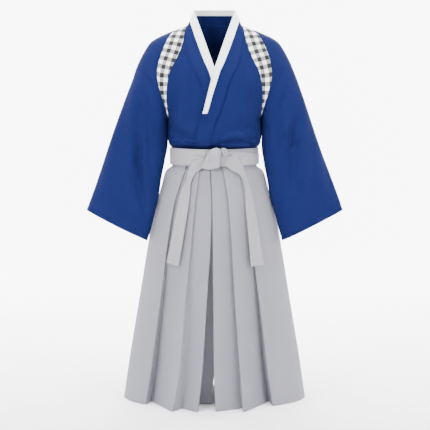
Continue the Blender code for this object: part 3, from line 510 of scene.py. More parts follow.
@dataclass(frozen=True)
class Crease:
    """A soft crease pressed or raised in cloth, along a line seen from the front or the back.

    depth is positive for a trough and negative for a ridge.
    """

    line: tuple[tuple[float, float], ...]
    depth: float
    width: float

    def lift(self, x: np.ndarray, z: np.ndarray) -> np.ndarray:
        """How far it moves the cloth outwards at each point."""
        ends = np.array(self.line)
        spans = np.linalg.norm(np.diff(ends, axis=0), axis=1)
        starts = np.concatenate([[0.0], np.cumsum(spans)])
        nearest = np.full(x.shape, 1e9)
        share = np.zeros(x.shape)
        for k, span in enumerate(spans):
            a, step = ends[k], (ends[k + 1] - ends[k]) / span
            along = np.clip((x - a[0]) * step[0] + (z - a[1]) * step[1], 0.0, span)
            distance = np.hypot(x - a[0] - step[0] * along, z - a[1] - step[1] * along)
            closer = distance < nearest
            nearest = np.where(closer, distance, nearest)
            share = np.where(closer, (starts[k] + along) / starts[-1], share)
        taper = np.sin(math.pi * np.clip(share, 0.02, 0.98)) ** CREASE_TAPER
        uneven = 1 + CREASE_UNEVEN * np.sin(9.0 * share + 40.0 * ends[0][0])
        away = nearest / self.width
        profile = CREASE_BANK * np.exp(-((away - CREASE_BANK_AT) ** 2)) - np.exp(-(away**2))
        return self.depth * taper * uneven * profile


def mirrored(creases: Iterable[Crease], shorter: float = 0.85) -> tuple[Crease, ...]:
    """The creases of the other side, a little shallower."""
    return tuple(
        Crease(tuple((-x, z) for x, z in crease.line), crease.depth * shorter, crease.width)
        for crease in creases
    )


def crease_lift(creases: Iterable[Crease], points: np.ndarray) -> np.ndarray:
    """How far all of the creases move each point outwards."""
    total = np.zeros(points.shape[:-1])
    for crease in creases:
        total += crease.lift(points[..., 0], points[..., 2])
    return total


JACKET_FRONT_CREASES = (
    Crease(
        ((-0.004, 0.040), (0.025, 0.054), (0.061, 0.060), (0.106, 0.053), (0.138, 0.041)), 0.0090, 0.0065
    ),
    Crease(((0.030, 0.068), (0.070, 0.076), (0.118, 0.070)), -0.0045, 0.0090),
    Crease(((0.118, 0.060), (0.138, 0.072), (0.150, 0.092)), 0.0045, 0.0060),
    Crease(((-0.146, 0.098), (-0.110, 0.088), (-0.068, 0.072)), 0.0063, 0.0080),
    Crease(((-0.104, 0.058), (-0.078, 0.052), (-0.052, 0.042)), 0.0060, 0.0055),
    Crease(((-0.150, 0.062), (-0.120, 0.058), (-0.096, 0.070)), 0.0039, 0.0060),
    Crease(((0.160, 0.130), (0.128, 0.108), (0.090, 0.100)), 0.0039, 0.0100),
    Crease(((-0.160, 0.150), (-0.140, 0.190), (-0.128, 0.240)), 0.0033, 0.0110),
    Crease(((0.160, 0.160), (0.146, 0.200), (0.130, 0.250)), 0.0033, 0.0110),
    Crease(((-0.120, 0.340), (-0.085, 0.270), (-0.060, 0.200)), 0.0018, 0.0160),
    Crease(((0.118, 0.340), (0.096, 0.260), (0.070, 0.180)), 0.0018, 0.0160),
    Crease(((-0.222, 0.280), (-0.206, 0.240), (-0.192, 0.205)), 0.0051, 0.0065),
    Crease(((0.226, 0.285), (0.209, 0.240), (0.194, 0.205)), 0.0045, 0.0065),
)
JACKET_BACK_CREASES = (
    Crease(((-0.120, 0.130), (-0.060, 0.160), (0.010, 0.150)), 0.0045, 0.0120),
    Crease(((0.040, 0.138), (0.095, 0.155), (0.150, 0.140)), 0.0051, 0.0100),
    Crease(((-0.150, 0.080), (-0.128, 0.100), (-0.118, 0.135)), 0.0060, 0.0080),
    Crease(((0.148, 0.085), (0.130, 0.110), (0.122, 0.150)), 0.0054, 0.0080),
    Crease(((-0.160, 0.170), (-0.120, 0.240), (-0.100, 0.310)), 0.0042, 0.0130),
    Crease(((0.162, 0.180), (0.126, 0.250), (0.096, 0.330)), 0.0039, 0.0130),
    Crease(((-0.040, 0.430), (0.0, 0.418), (0.042, 0.430)), 0.0024, 0.0120),
)
SLEEVE_FRONT_CREASES = {
    "right": (
        Crease(
            ((-0.262, 0.215), (-0.272, 0.130), (-0.272, -0.030), (-0.258, -0.120), (-0.246, -0.185)),
            0.0165, 0.0135,
        ),
        Crease(((-0.232, 0.160), (-0.230, 0.050), (-0.224, -0.060)), 0.0075, 0.0110),
        Crease(((-0.310, 0.120), (-0.338, -0.010), (-0.356, -0.130)), 0.0034, 0.0180),
        Crease(((-0.250, 0.250), (-0.238, 0.200), (-0.224, 0.150)), 0.0058, 0.0070),
    ),
    "left": (
        Crease(((0.292, 0.180), (0.284, 0.090), (0.279, -0.020), (0.274, -0.110)), 0.0125, 0.0160),
        Crease(((0.252, 0.150), (0.254, 0.060), (0.252, -0.030)), -0.0068, 0.0100),
        Crease(((0.250, 0.022), (0.276, 0.040), (0.302, 0.062)), 0.0040, 0.0075),
        Crease(((0.330, 0.060), (0.344, -0.060), (0.352, -0.160)), 0.0034, 0.0180),
        Crease(((0.252, 0.252), (0.242, 0.205), (0.232, 0.155)), 0.0051, 0.0070),
    ),
}
SLEEVE_BACK_CREASES = (
    Crease(((0.250, 0.220), (0.264, 0.110), (0.268, -0.020), (0.262, -0.130)), 0.0112, 0.0110),
    Crease(((0.215, 0.110), (0.222, 0.030), (0.226, -0.060)), 0.0064, 0.0090),
    Crease(((0.300, 0.130), (0.330, 0.000), (0.346, -0.120)), 0.0042, 0.0170),
)
BELT_CREASES = (
    Crease(((-0.100, 0.004), (-0.078, 0.012), (-0.050, 0.006), (-0.026, 0.000)), 0.0036, 0.0036),
    Crease(((-0.082, -0.010), (-0.055, -0.006), (-0.030, -0.004)), 0.0030, 0.0032),
    Crease(((-0.060, -0.020), (-0.044, -0.014), (-0.028, -0.010)), 0.0024, 0.0028),
    Crease(((0.028, 0.012), (0.052, 0.006), (0.078, 0.010), (0.126, 0.014)), 0.0034, 0.0038),
    Crease(((0.030, -0.002), (0.060, -0.008), (0.100, -0.004)), 0.0026, 0.0044),
    Crease(((0.046, 0.002), (0.076, 0.001), (0.110, 0.006)), -0.0016, 0.0040),
)


class Weave(Enum):
    """The ways in which this garment's cloths are woven."""

    TWILL = "twill"
    PLAIN = "plain"
    CHECK = "check"


class NodeSheet:
    """A short way to lay out one material's nodes."""

    def __init__(self, name: str) -> None:
        """Makes an empty node material with a shader and an output."""
        self.material = bpy.data.materials.new(name)
        self.material.use_nodes = True
        self.tree = self.material.node_tree
        self.shader = self.tree.nodes["Principled BSDF"]

    def add(self, kind: str, settings: dict | None = None, inputs: dict | None = None) -> bpy.types.Node:
        """Adds a node.

        Args:
            kind: its type.
            settings: its properties.
            inputs: a value, or another node's output, for each input.

        Returns:
            The node.
        """
        node = self.tree.nodes.new(kind)
        for name, value in (settings or {}).items():
            setattr(node, name, value)
        for key, value in (inputs or {}).items():
            if isinstance(value, bpy.types.NodeSocket):
                self.tree.links.new(value, node.inputs[key])
            else:
                node.inputs[key].default_value = value
        return node

    def math(self, operation: str, a: object, b: object = 0.0) -> bpy.types.NodeSocket:
        """The result of a sum on one or two values."""
        return self.add("ShaderNodeMath", {"operation": operation}, {0: a, 1: b}).outputs[0]

    def blend(self, share: object, a: object, b: object) -> bpy.types.NodeSocket:
        """A colour between two others."""
        node = self.add("ShaderNodeMix", {"data_type": "RGBA"}, {0: share, 6: a, 7: b})
        return node.outputs[2]


@dataclass(frozen=True)
class ClothFinish:
    """A woven cloth: its colour, its weave and how rough and fuzzy it is."""

    slot: str
    colour: tuple[float, float, float]
    weave: Weave
    pitch: float
    roughness: float = 0.86
    sheen: float = 0.15
    weave_bump: float = 0.25
    crinkle: float = 0.25
    variation: float = 0.10
    dark_check: tuple[float, float, float] = (0.012, 0.012, 0.013)
    mid_check: tuple[float, float, float] = (0.12, 0.12, 0.12)
    check_side: float = 0.0148

    def _weave_height(self, sheet: NodeSheet, u: object, v: object) -> bpy.types.NodeSocket:
        """The weave's height over the cloth, from 0 to 1."""
        if self.weave is Weave.TWILL:
            diagonal = sheet.math("DIVIDE", sheet.math("ADD", u, v), self.pitch)
            return sheet.math("MULTIPLY", sheet.math("PINGPONG", diagonal, 0.5), 2.0)
        wave = 2 * math.pi / self.pitch
        across = sheet.math("SINE", sheet.math("MULTIPLY", u, wave))
        along = sheet.math("SINE", sheet.math("MULTIPLY", v, wave))
        return sheet.math("MULTIPLY_ADD", sheet.math("MULTIPLY", across, along), 0.5)

    def _check_colour(self, sheet: NodeSheet, u: object, v: object) -> bpy.types.NodeSocket:
        """White, grey and black squares, the grey ones finely hatched."""
        repeat = 2 * self.check_side
        bands = []
        for axis in (u, v):
            share = sheet.math("FRACT", sheet.math("DIVIDE", axis, repeat))
            bands.append(sheet.math("GREATER_THAN", share, 0.5))
        hatch = sheet.math("PINGPONG", sheet.math("DIVIDE", sheet.math("ADD", u, v), self.pitch * 2), 0.5)
        grey = sheet.blend(sheet.math("MULTIPLY", hatch, 0.5), (*self.mid_check, 1), (*self.colour, 1))
        one = sheet.math("MAXIMUM", *bands)
        both = sheet.math("MINIMUM", *bands)
        light = sheet.blend(one, (*self.colour, 1), grey)
        return sheet.blend(both, light, (*self.dark_check, 1))

    def material(self) -> bpy.types.Material:
        """The cloth's material, made once."""
        made = bpy.data.materials.get(f"{self.slot}_woven")
        if made:
            return made
        sheet = NodeSheet(f"{self.slot}_woven")
        place = sheet.add("ShaderNodeTexCoord")
        parts = sheet.add("ShaderNodeSeparateXYZ", inputs={0: place.outputs["UV"]})
        u, v = parts.outputs[0], parts.outputs[1]
        height = self._weave_height(sheet, u, v)
        cloud, slub = (
            sheet.add("ShaderNodeTexNoise", inputs={
                "Vector": place.outputs["Object"], "Scale": scale, "Detail": detail,
            })
            for scale, detail in ((CRINKLE_SCALE, 5.0), (SLUB_SCALE, 2.0))
        )
        if self.weave is Weave.CHECK:
            colour = self._check_colour(sheet, u, v)
        else:
            low = tuple(c * (1 - self.variation) for c in self.colour)
            high = tuple(min(c * (1 + self.variation), 1.0) for c in self.colour)
            share = sheet.math("MULTIPLY_ADD", sheet.math("ADD", slub.outputs[0], height), 0.34)
            sheet.tree.nodes[-1].inputs[2].default_value = 0.02
            colour = sheet.blend(share, (*low, 1), (*high, 1))
        soft = sheet.add("ShaderNodeBump", inputs={
            "Strength": self.crinkle, "Distance": CRINKLE_DEPTH, "Height": cloud.outputs[0],
        })
        fine = sheet.add("ShaderNodeBump", inputs={
            "Strength": self.weave_bump, "Distance": WEAVE_DEPTH, "Height": height, "Normal": soft.outputs[0],
        })
        sheet.tree.links.new(colour, sheet.shader.inputs["Base Color"])
        sheet.tree.links.new(fine.outputs[0], sheet.shader.inputs["Normal"])
        sheet.shader.inputs["Roughness"].default_value = self.roughness
        sheet.shader.inputs["Sheen Weight"].default_value = self.sheen
        sheet.shader.inputs["Sheen Roughness"].default_value = 0.5
        sheet.shader.inputs["Specular IOR Level"].default_value = CLOTH_SPECULAR
        return sheet.material


BLUE_TWILL = ClothFinish("blue_twill", (0.0028, 0.0068, 0.054), Weave.TWILL, 0.0014, sheen=0.0)
WHITE_CLOTH = ClothFinish("white_cloth", (0.88, 0.89, 0.91), Weave.PLAIN, 0.0010, variation=0.02)
CHECK_CLOTH = ClothFinish("check_cloth", (0.86, 0.87, 0.87), Weave.CHECK, 0.0010)
GREY_CLOTH = ClothFinish(
    "grey_cloth", (0.195, 0.195, 0.224), Weave.PLAIN, 0.0011, variation=0.07, crinkle=0.2, sheen=0.0
)
GREY_TIE = ClothFinish("grey_tie", (0.262, 0.258, 0.284), Weave.PLAIN, 0.0011, variation=0.07, sheen=0.0)


@dataclass
class Patch:
    """A grid of points on one piece of cloth, in rows and columns, with the outward normal at each."""

    points: np.ndarray
    normals: np.ndarray
    closed: bool = False
    strip: bool = False

    def creased(self, creases: Iterable[Crease], share: np.ndarray | float = 1.0) -> "Patch":
        """The same patch with creases in it."""
        lift = crease_lift(creases, self.points) * share
        return Patch(self.points + self.normals * lift[..., None], self.normals, self.closed, self.strip)

    def wrapped(self) -> np.ndarray:
        """The points, with a ring's first column repeated at its end."""
        if not self.closed:
            return self.points
        return np.concatenate([self.points, self.points[:, :1]], axis=1)

    def flat_places(self) -> np.ndarray:
        """Where each point lies in the flat cloth, in metres, from the middle of its row."""
        points = self.wrapped()
        rows, columns = points.shape[:2]
        across = np.zeros((rows, columns))
        across[:, 1:] = np.cumsum(np.linalg.norm(np.diff(points, axis=1), axis=2), axis=1)
        middle = columns // 2
        along = np.zeros(rows)
        along[1:] = np.cumsum(np.linalg.norm(np.diff(points[:, middle], axis=0), axis=1))
        across -= across[:, middle : middle + 1]
        if not self.strip:
            return np.stack([across, np.repeat(along[:, None], columns, axis=1)], axis=2)
        line = points[:, middle]
        ahead = unit(np.gradient(line, along, axis=0))[:, None]
        aside = np.cross(ahead, self.normals[:, middle, None])
        from_line = points - line[:, None]
        shifted = np.sum(from_line * ahead, axis=2)
        return np.stack([np.sum(from_line * aside, axis=2), along[:, None] + shifted], axis=2)

    def area(self) -> float:
        """The area of its outer face."""
        points = self.wrapped()
        one = points[1:, 1:] - points[:-1, :-1]
        other = points[1:, :-1] - points[:-1, 1:]
        return float(np.linalg.norm(np.cross(one, other), axis=2).sum() / 2)

    def cut(self) -> tuple[float, float]:
        """The width and length of the smallest rectangle of cloth that it can be cut from."""
        flat = self.flat_places().reshape(-1, 2)
        boxes = []
        for angle in np.radians(np.arange(0, 90, CUT_TURN_DEGREES)):
            turn = np.array([[math.cos(angle), -math.sin(angle)], [math.sin(angle), math.cos(angle)]])
            sides = np.ptp(flat @ turn, axis=0)
            boxes.append((float(sides[0] * sides[1]), tuple(map(float, sides))))
        return min(boxes)[1]


def eased_over(points: np.ndarray, level: float, reach: float, share: np.ndarray) -> np.ndarray:
    """Cloth whose columns pass softly over the level where two forms meet.

    Args:
        points: the grid, whose columns run up or down.
        level: the height where they meet.
        reach: how far the passage starts from it.
        share: how much each column follows the soft passage, from 0 to 1.

    Returns:
        The grid with its points moved level.
    """
    soft = points.copy()
    for column in range(points.shape[1]):
        line = points[:, column]
        order = np.argsort(line[:, 2])
        z = line[order, 2]
        low, high = level - reach, level + reach
        near = (z > low) & (z < high)
        t = (z[near] - low) / (2 * reach)
        for axis in (0, 1):
            value = line[order, axis]
            start, before = np.interp([low, low - SLOPE_STEP], z, value)
            end, after = np.interp([high, high + SLOPE_STEP], z, value)
            rise, fall = ((start - before) / SLOPE_STEP * 2 * reach, (after - end) / SLOPE_STEP * 2 * reach)
            bridge = (
                (2 * t**3 - 3 * t**2 + 1) * start + (t**3 - 2 * t**2 + t) * rise
                + (3 * t**2 - 2 * t**3) * end + (t**3 - t**2) * fall
            )
            value = value.copy()
            value[near] += (bridge - value[near]) * share[column]
            soft[order, column, axis] = value
    return soft


class Piece:
    """Turns patches of cloth into finished pieces of the garment."""

    @staticmethod
    def mesh_object(name: str, points: np.ndarray, faces: list, finish: ClothFinish) -> bpy.types.Object:
        """An object of points and faces with a cloth's material."""
        mesh = bpy.data.meshes.new(name)
        mesh.from_pydata(points.tolist(), [], faces)
        mesh.materials.append(finish.material())
        mesh.shade_smooth()
        made = bpy.data.objects.new(f"{name}_cloth", mesh)
        bpy.context.scene.collection.objects.link(made)
        return made

    @classmethod
    def wall(cls, name: str, patch: Patch, thickness: float, finish: ClothFinish) -> bpy.types.Object:
        """A closed wall of cloth under a patch.

        Args:
            name: the piece's name.
            patch: its outer face.
            thickness: the cloth's thickness.
            finish: its cloth.

        Returns:
            The object, with the flat cloth as its UV map.
        """
        outer = patch.points
        return cls.between(name, outer, outer - patch.normals * thickness, patch, finish)

    @classmethod
    def between(
        cls, name: str, outer: np.ndarray, inner: np.ndarray, patch: Patch, finish: ClothFinish
    ) -> bpy.types.Object:
        """A closed wall between an outer and an inner grid, laid out flat as the patch is."""
        rows, columns = outer.shape[:2]
        size = rows * columns
        spans = columns if patch.closed else columns - 1
        r, c = (part.ravel() for part in np.meshgrid(range(rows - 1), range(spans), indexing="ij"))
        corners = [(r, c), (r, c + 1), (r + 1, c + 1), (r + 1, c)]
        over = np.stack([a * columns + b % columns for a, b in corners], axis=1)
        one = outer.reshape(-1, 3)[over[:, 2]] - outer.reshape(-1, 3)[over[:, 0]]
        other = outer.reshape(-1, 3)[over[:, 3]] - outer.reshape(-1, 3)[over[:, 1]]
        outwards = (outer - inner).reshape(-1, 3)[over[:, 0]]
        turned = float(np.sum(np.cross(one, other) * outwards)) < 0
        places = [np.stack([a, b], axis=1) for a, b in corners]
        flat = np.stack(places, axis=1)
        faces = over.tolist() + (over[:, ::-1] + size).tolist()
        layout = [*flat, *flat[:, ::-1]]
        edges = [(row, k, k + 1, row > 0) for row in (0, rows - 1) for k in range(spans)]
        for row, a, b, last in edges:
            quad = [row * columns + a, row * columns + a + size, row * columns + b % columns + size,
                    row * columns + b % columns]
            spot = [(row, a), (row, a), (row, b), (row, b)]
            faces.append(quad[::-1] if last else quad)
            layout.append(np.array(spot[::-1] if last else spot))
        if not patch.closed:
            for column, last in ((0, False), (columns - 1, True)):
                for k in range(rows - 1):
                    low, high = k * columns + column, (k + 1) * columns + column
                    quad = [low, high, high + size, low + size]
                    spot = [(k, column), (k + 1, column), (k + 1, column), (k, column)]
                    faces.append(quad[::-1] if last else quad)
                    layout.append(np.array(spot[::-1] if last else spot))
        if turned:
            faces = [face[::-1] for face in faces]
            layout = [spots[::-1] for spots in layout]
        points = np.concatenate([outer.reshape(-1, 3), inner.reshape(-1, 3)])
        made = cls.mesh_object(name, points, faces, finish)
        made.data.set_sharp_from_angle(angle=math.radians(SHARP_DEGREES))
        map_ = made.data.uv_layers.new(name="flat_cloth")
        spots = np.concatenate(layout)
        places_flat = patch.flat_places()[spots[:, 0], spots[:, 1]]
        map_.data.foreach_set("uv", places_flat.ravel())
        return made

    @staticmethod
    def finish(
        made: bpy.types.Object, patch: Patch, slot: str, nodes: Sequence[str], held: str = "hung",
        rests_on: Sequence[str] = (), stitched: Sequence[bpy.types.Object] = (),
    ) -> bpy.types.Object:
        """Puts a piece in its node's place and logs its cut.

        A cut that fills too little of its rectangle, as the shoulders' does, has the width narrowed.

        Args:
            made: the piece.
            patch: its outer face.
            slot: not used.
            nodes: the solids that it stands for.
            held: not used.
            rests_on: not used.
            stitched: not used.

        Returns:
            The piece.
        """
        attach(made, BODY_NAME)
        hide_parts(*nodes)
        width, length = patch.cut()
        area = patch.area()
        width = min(width, area / (LEAST_FILL * length))
        LOG.info("%s: cut %.3f x %.3f m, %d faces", made.name, width, length, len(made.data.polygons))
        return made


class Stitches:
    """Rows of stitches along lines on the cloth."""

    def __init__(self) -> None:
        """Builds the node group that lays stitches along a line."""
        self.group = bpy.data.node_groups.new("stitch_line", "GeometryNodeTree")
        face = self.group.interface
        face.new_socket("Geometry", in_out="INPUT", socket_type="NodeSocketGeometry")
        for name, value in (("Pitch", STITCH_PITCH), ("Length", STITCH_LENGTH), ("Radius", THREAD_RADIUS)):
            face.new_socket(name, in_out="INPUT", socket_type="NodeSocketFloat").default_value = value
        face.new_socket("Material", in_out="INPUT", socket_type="NodeSocketMaterial")
        face.new_socket("Geometry", in_out="OUTPUT", socket_type="NodeSocketGeometry")
        add, link = self.group.nodes.new, self.group.links.new
        start, end = add("NodeGroupInput"), add("NodeGroupOutput")
        curve, spots = add("GeometryNodeMeshToCurve"), add("GeometryNodeCurveToPoints")
        spots.mode = "LENGTH"
        thread, place = add("GeometryNodeMeshCylinder"), add("GeometryNodeInstanceOnPoints")
        thread.inputs["Vertices"].default_value = 5
        real, paint = add("GeometryNodeRealizeInstances"), add("GeometryNodeSetMaterial")
        link(start.outputs["Geometry"], curve.inputs["Mesh"])
        link(curve.outputs["Curve"], spots.inputs["Curve"])
        link(start.outputs["Pitch"], spots.inputs["Length"])
        link(start.outputs["Radius"], thread.inputs["Radius"])
        link(start.outputs["Length"], thread.inputs["Depth"])
        link(spots.outputs["Points"], place.inputs["Points"])
        link(thread.outputs["Mesh"], place.inputs["Instance"])
        link(spots.outputs["Rotation"], place.inputs["Rotation"])
        link(place.outputs["Instances"], real.inputs["Geometry"])
        link(real.outputs["Geometry"], paint.inputs["Geometry"])
        link(start.outputs["Material"], paint.inputs["Material"])
        link(paint.outputs["Geometry"], end.inputs["Geometry"])

    def along(self, name: str, lines: Sequence[np.ndarray], finish: ClothFinish) -> bpy.types.Object:
        """Sews along lines of points.

        Args:
            name: the piece's name.
            lines: one array of points for each line.
            finish: the cloth whose thread it is.

        Returns:
            The stitches as one plain mesh.
        """
        points, edges = [], []
        for line in lines:
            first = len(points)
            points += [tuple(map(float, point)) for point in line]
            edges += [(first + k, first + k + 1) for k in range(len(line) - 1)]
        path = bpy.data.meshes.new(f"{name}_path")
        path.from_pydata(points, edges, [])
        carrier = bpy.data.objects.new(f"{name}_path", path)
        bpy.context.scene.collection.objects.link(carrier)
        modifier = carrier.modifiers.new("stitches", "NODES")
        modifier.node_group = self.group
        items = self.group.interface.items_tree
        sockets = {item.name: item.identifier for item in items if item.in_out == "INPUT"}
        modifier[sockets["Material"]] = finish.material()
        modifier[sockets["Pitch"]] = STITCH_PITCH
        modifier[sockets["Length"]] = STITCH_LENGTH
        modifier[sockets["Radius"]] = THREAD_RADIUS
        evaluated = carrier.evaluated_get(bpy.context.evaluated_depsgraph_get())
        mesh = bpy.data.meshes.new_from_object(evaluated)
        mesh.name = name
        if not mesh.uv_layers:
            mesh.uv_layers.new(name="flat_cloth")
        bpy.data.objects.remove(carrier, do_unlink=True)
        made = bpy.data.objects.new(name, mesh)
        bpy.context.scene.collection.objects.link(made)
        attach(made, BODY_NAME)
        LOG.info("%s: %d faces", name, len(mesh.polygons))
        return made


class JacketForm:
    """The jacket's outer form, by how far round it and how far up a point lies."""

    def __init__(self) -> None:
        """Reads the tables into curves."""
        self.width = Curve(BODY, "half_width")
        self.depth = {-1: Curve(BODY, "front"), 1: Curve(BODY, "back")}
        self.chest = {-1: Curve(CHEST, "front", "up"), 1: Curve(CHEST, "back", "up")}
        self.armhole = Curve(ARMHOLE, "x")
        self.ridge = Curve(RIDGE, "z", "x")
        self._front_tree: BVHTree | None = None

    def point(self, place: np.ndarray, level: float, facing: int = -1) -> np.ndarray:
        """Points of the outer face.

        Args:
            place: from the middle, 0, to the side, 1 or -1.
            level: the height up to the underarm, and past it 1 more at the shoulder ridge.
            facing: -1 for the front and 1 for the back.

        Returns:
            A point for each place.
        """
        place = np.asarray(place, float)
        sine = np.abs(np.sin(np.abs(place) * math.pi / 2)) ** (1 / SIDE_ROUNDING)
        cosine = np.cos(place * math.pi / 2)
        if level <= UNDERARM_Z:
            x = self.width(level) * np.copysign(sine, place)
            y = facing * self.depth[facing](level) * cosine
            return np.stack([x, y, np.full(x.shape, level)], axis=-1)
        up = min(level - UNDERARM_Z, 1.0)
        side_z = UNDERARM_Z + (ARMHOLE[-1].z - UNDERARM_Z) * up
        middle_z = UNDERARM_Z + (RIDGE[0].z - UNDERARM_Z) * up
        flat = float(ease(0.0, CHEST_FLAT_AT, up))
        share = (1 - flat) * sine + flat * np.abs(place)
        bow = (1 - flat) * cosine + flat * (1 - share**CHEST_ROUNDING)
        side_y = ARMHOLE_HALF_DEPTH * 2 * math.sqrt(max(up * (1 - up), 0.0))
        y = side_y + (self.chest[facing](up) - side_y) * bow
        drop = (self.ridge(share * RIDGE[-1].x) - RIDGE[-1].z) / (RIDGE[0].z - RIDGE[-1].z)
        x = self.armhole(side_z) * np.copysign(share, place)
        return np.stack([x, facing * y, side_z + (middle_z - side_z) * drop], axis=-1)

    def normal(self, place: np.ndarray, level: float, facing: int = -1) -> np.ndarray:
        """The outward normals, which the pieces that meet there share."""
        step = 1e-3
        place = np.asarray(place, float)
        inside = np.clip(place, -0.985, 0.985)
        low = max(level - step, JACKET_HEM_Z)
        high = min(level + step, UNDERARM_Z + 1.0)
        if level <= UNDERARM_Z:
            high = min(high, UNDERARM_Z)
        across = self.point(inside + step, level, facing) - self.point(inside - step, level, facing)
        upwards = self.point(inside, high, facing) - self.point(inside, low, facing)
        normals = -facing * np.cross(across, upwards)
        if level > UNDERARM_Z + 0.999:
            normals[..., 1] = 0.0
        if level <= UNDERARM_Z:
            normals[np.abs(place) > 0.999, 1] = 0.0
        return unit(normals)

    def round_at(self, seam: Curve, level: float) -> float:
        """How far round the left front a seam lies at a level."""
        places = np.linspace(-1, 1, 401)
        points = self.point(places, level)
        over = points[:, 0] - seam(points[:, 2])
        k = int(np.clip(np.argmax(over >= 0), 1, 400)) if (over >= 0).any() else 400
        for _ in range(4):
            places = np.linspace(places[k - 1], places[k], 9)
            points = self.point(places, level)
            over = points[:, 0] - seam(points[:, 2])
            k = int(np.clip(np.argmax(over >= 0), 1, 8)) if (over >= 0).any() else 8
        return float((places[k - 1] + places[k]) / 2)

    def at_front(self, x: float, z: float) -> tuple[np.ndarray, np.ndarray]:
        """The front's outer point that shows at x and z from the front, and its normal."""
        if self._front_tree is None:
            places = np.linspace(-1, 1, 161)
            below, above = np.linspace(JACKET_HEM_Z, UNDERARM_Z, 120), np.linspace(0.005, 1, 160)
            levels = [*below, *(UNDERARM_Z + above)]
            grid = np.array([self.point(places, level) for level in levels])
            columns = len(places)
            quads = [
                (r * columns + c, r * columns + c + 1, (r + 1) * columns + c + 1, (r + 1) * columns + c)
                for r in range(len(levels) - 1)
                for c in range(columns - 1)
            ]
            self._front_tree = BVHTree.FromPolygons([Vector(p) for p in grid.reshape(-1, 3)], quads)
        spot, normal, _, _ = self._front_tree.ray_cast(Vector((x, -1.0, z)), Vector((0, 1, 0)))
        normal = np.array(normal)
        return np.array(spot), normal if normal[1] < 0 else -normal


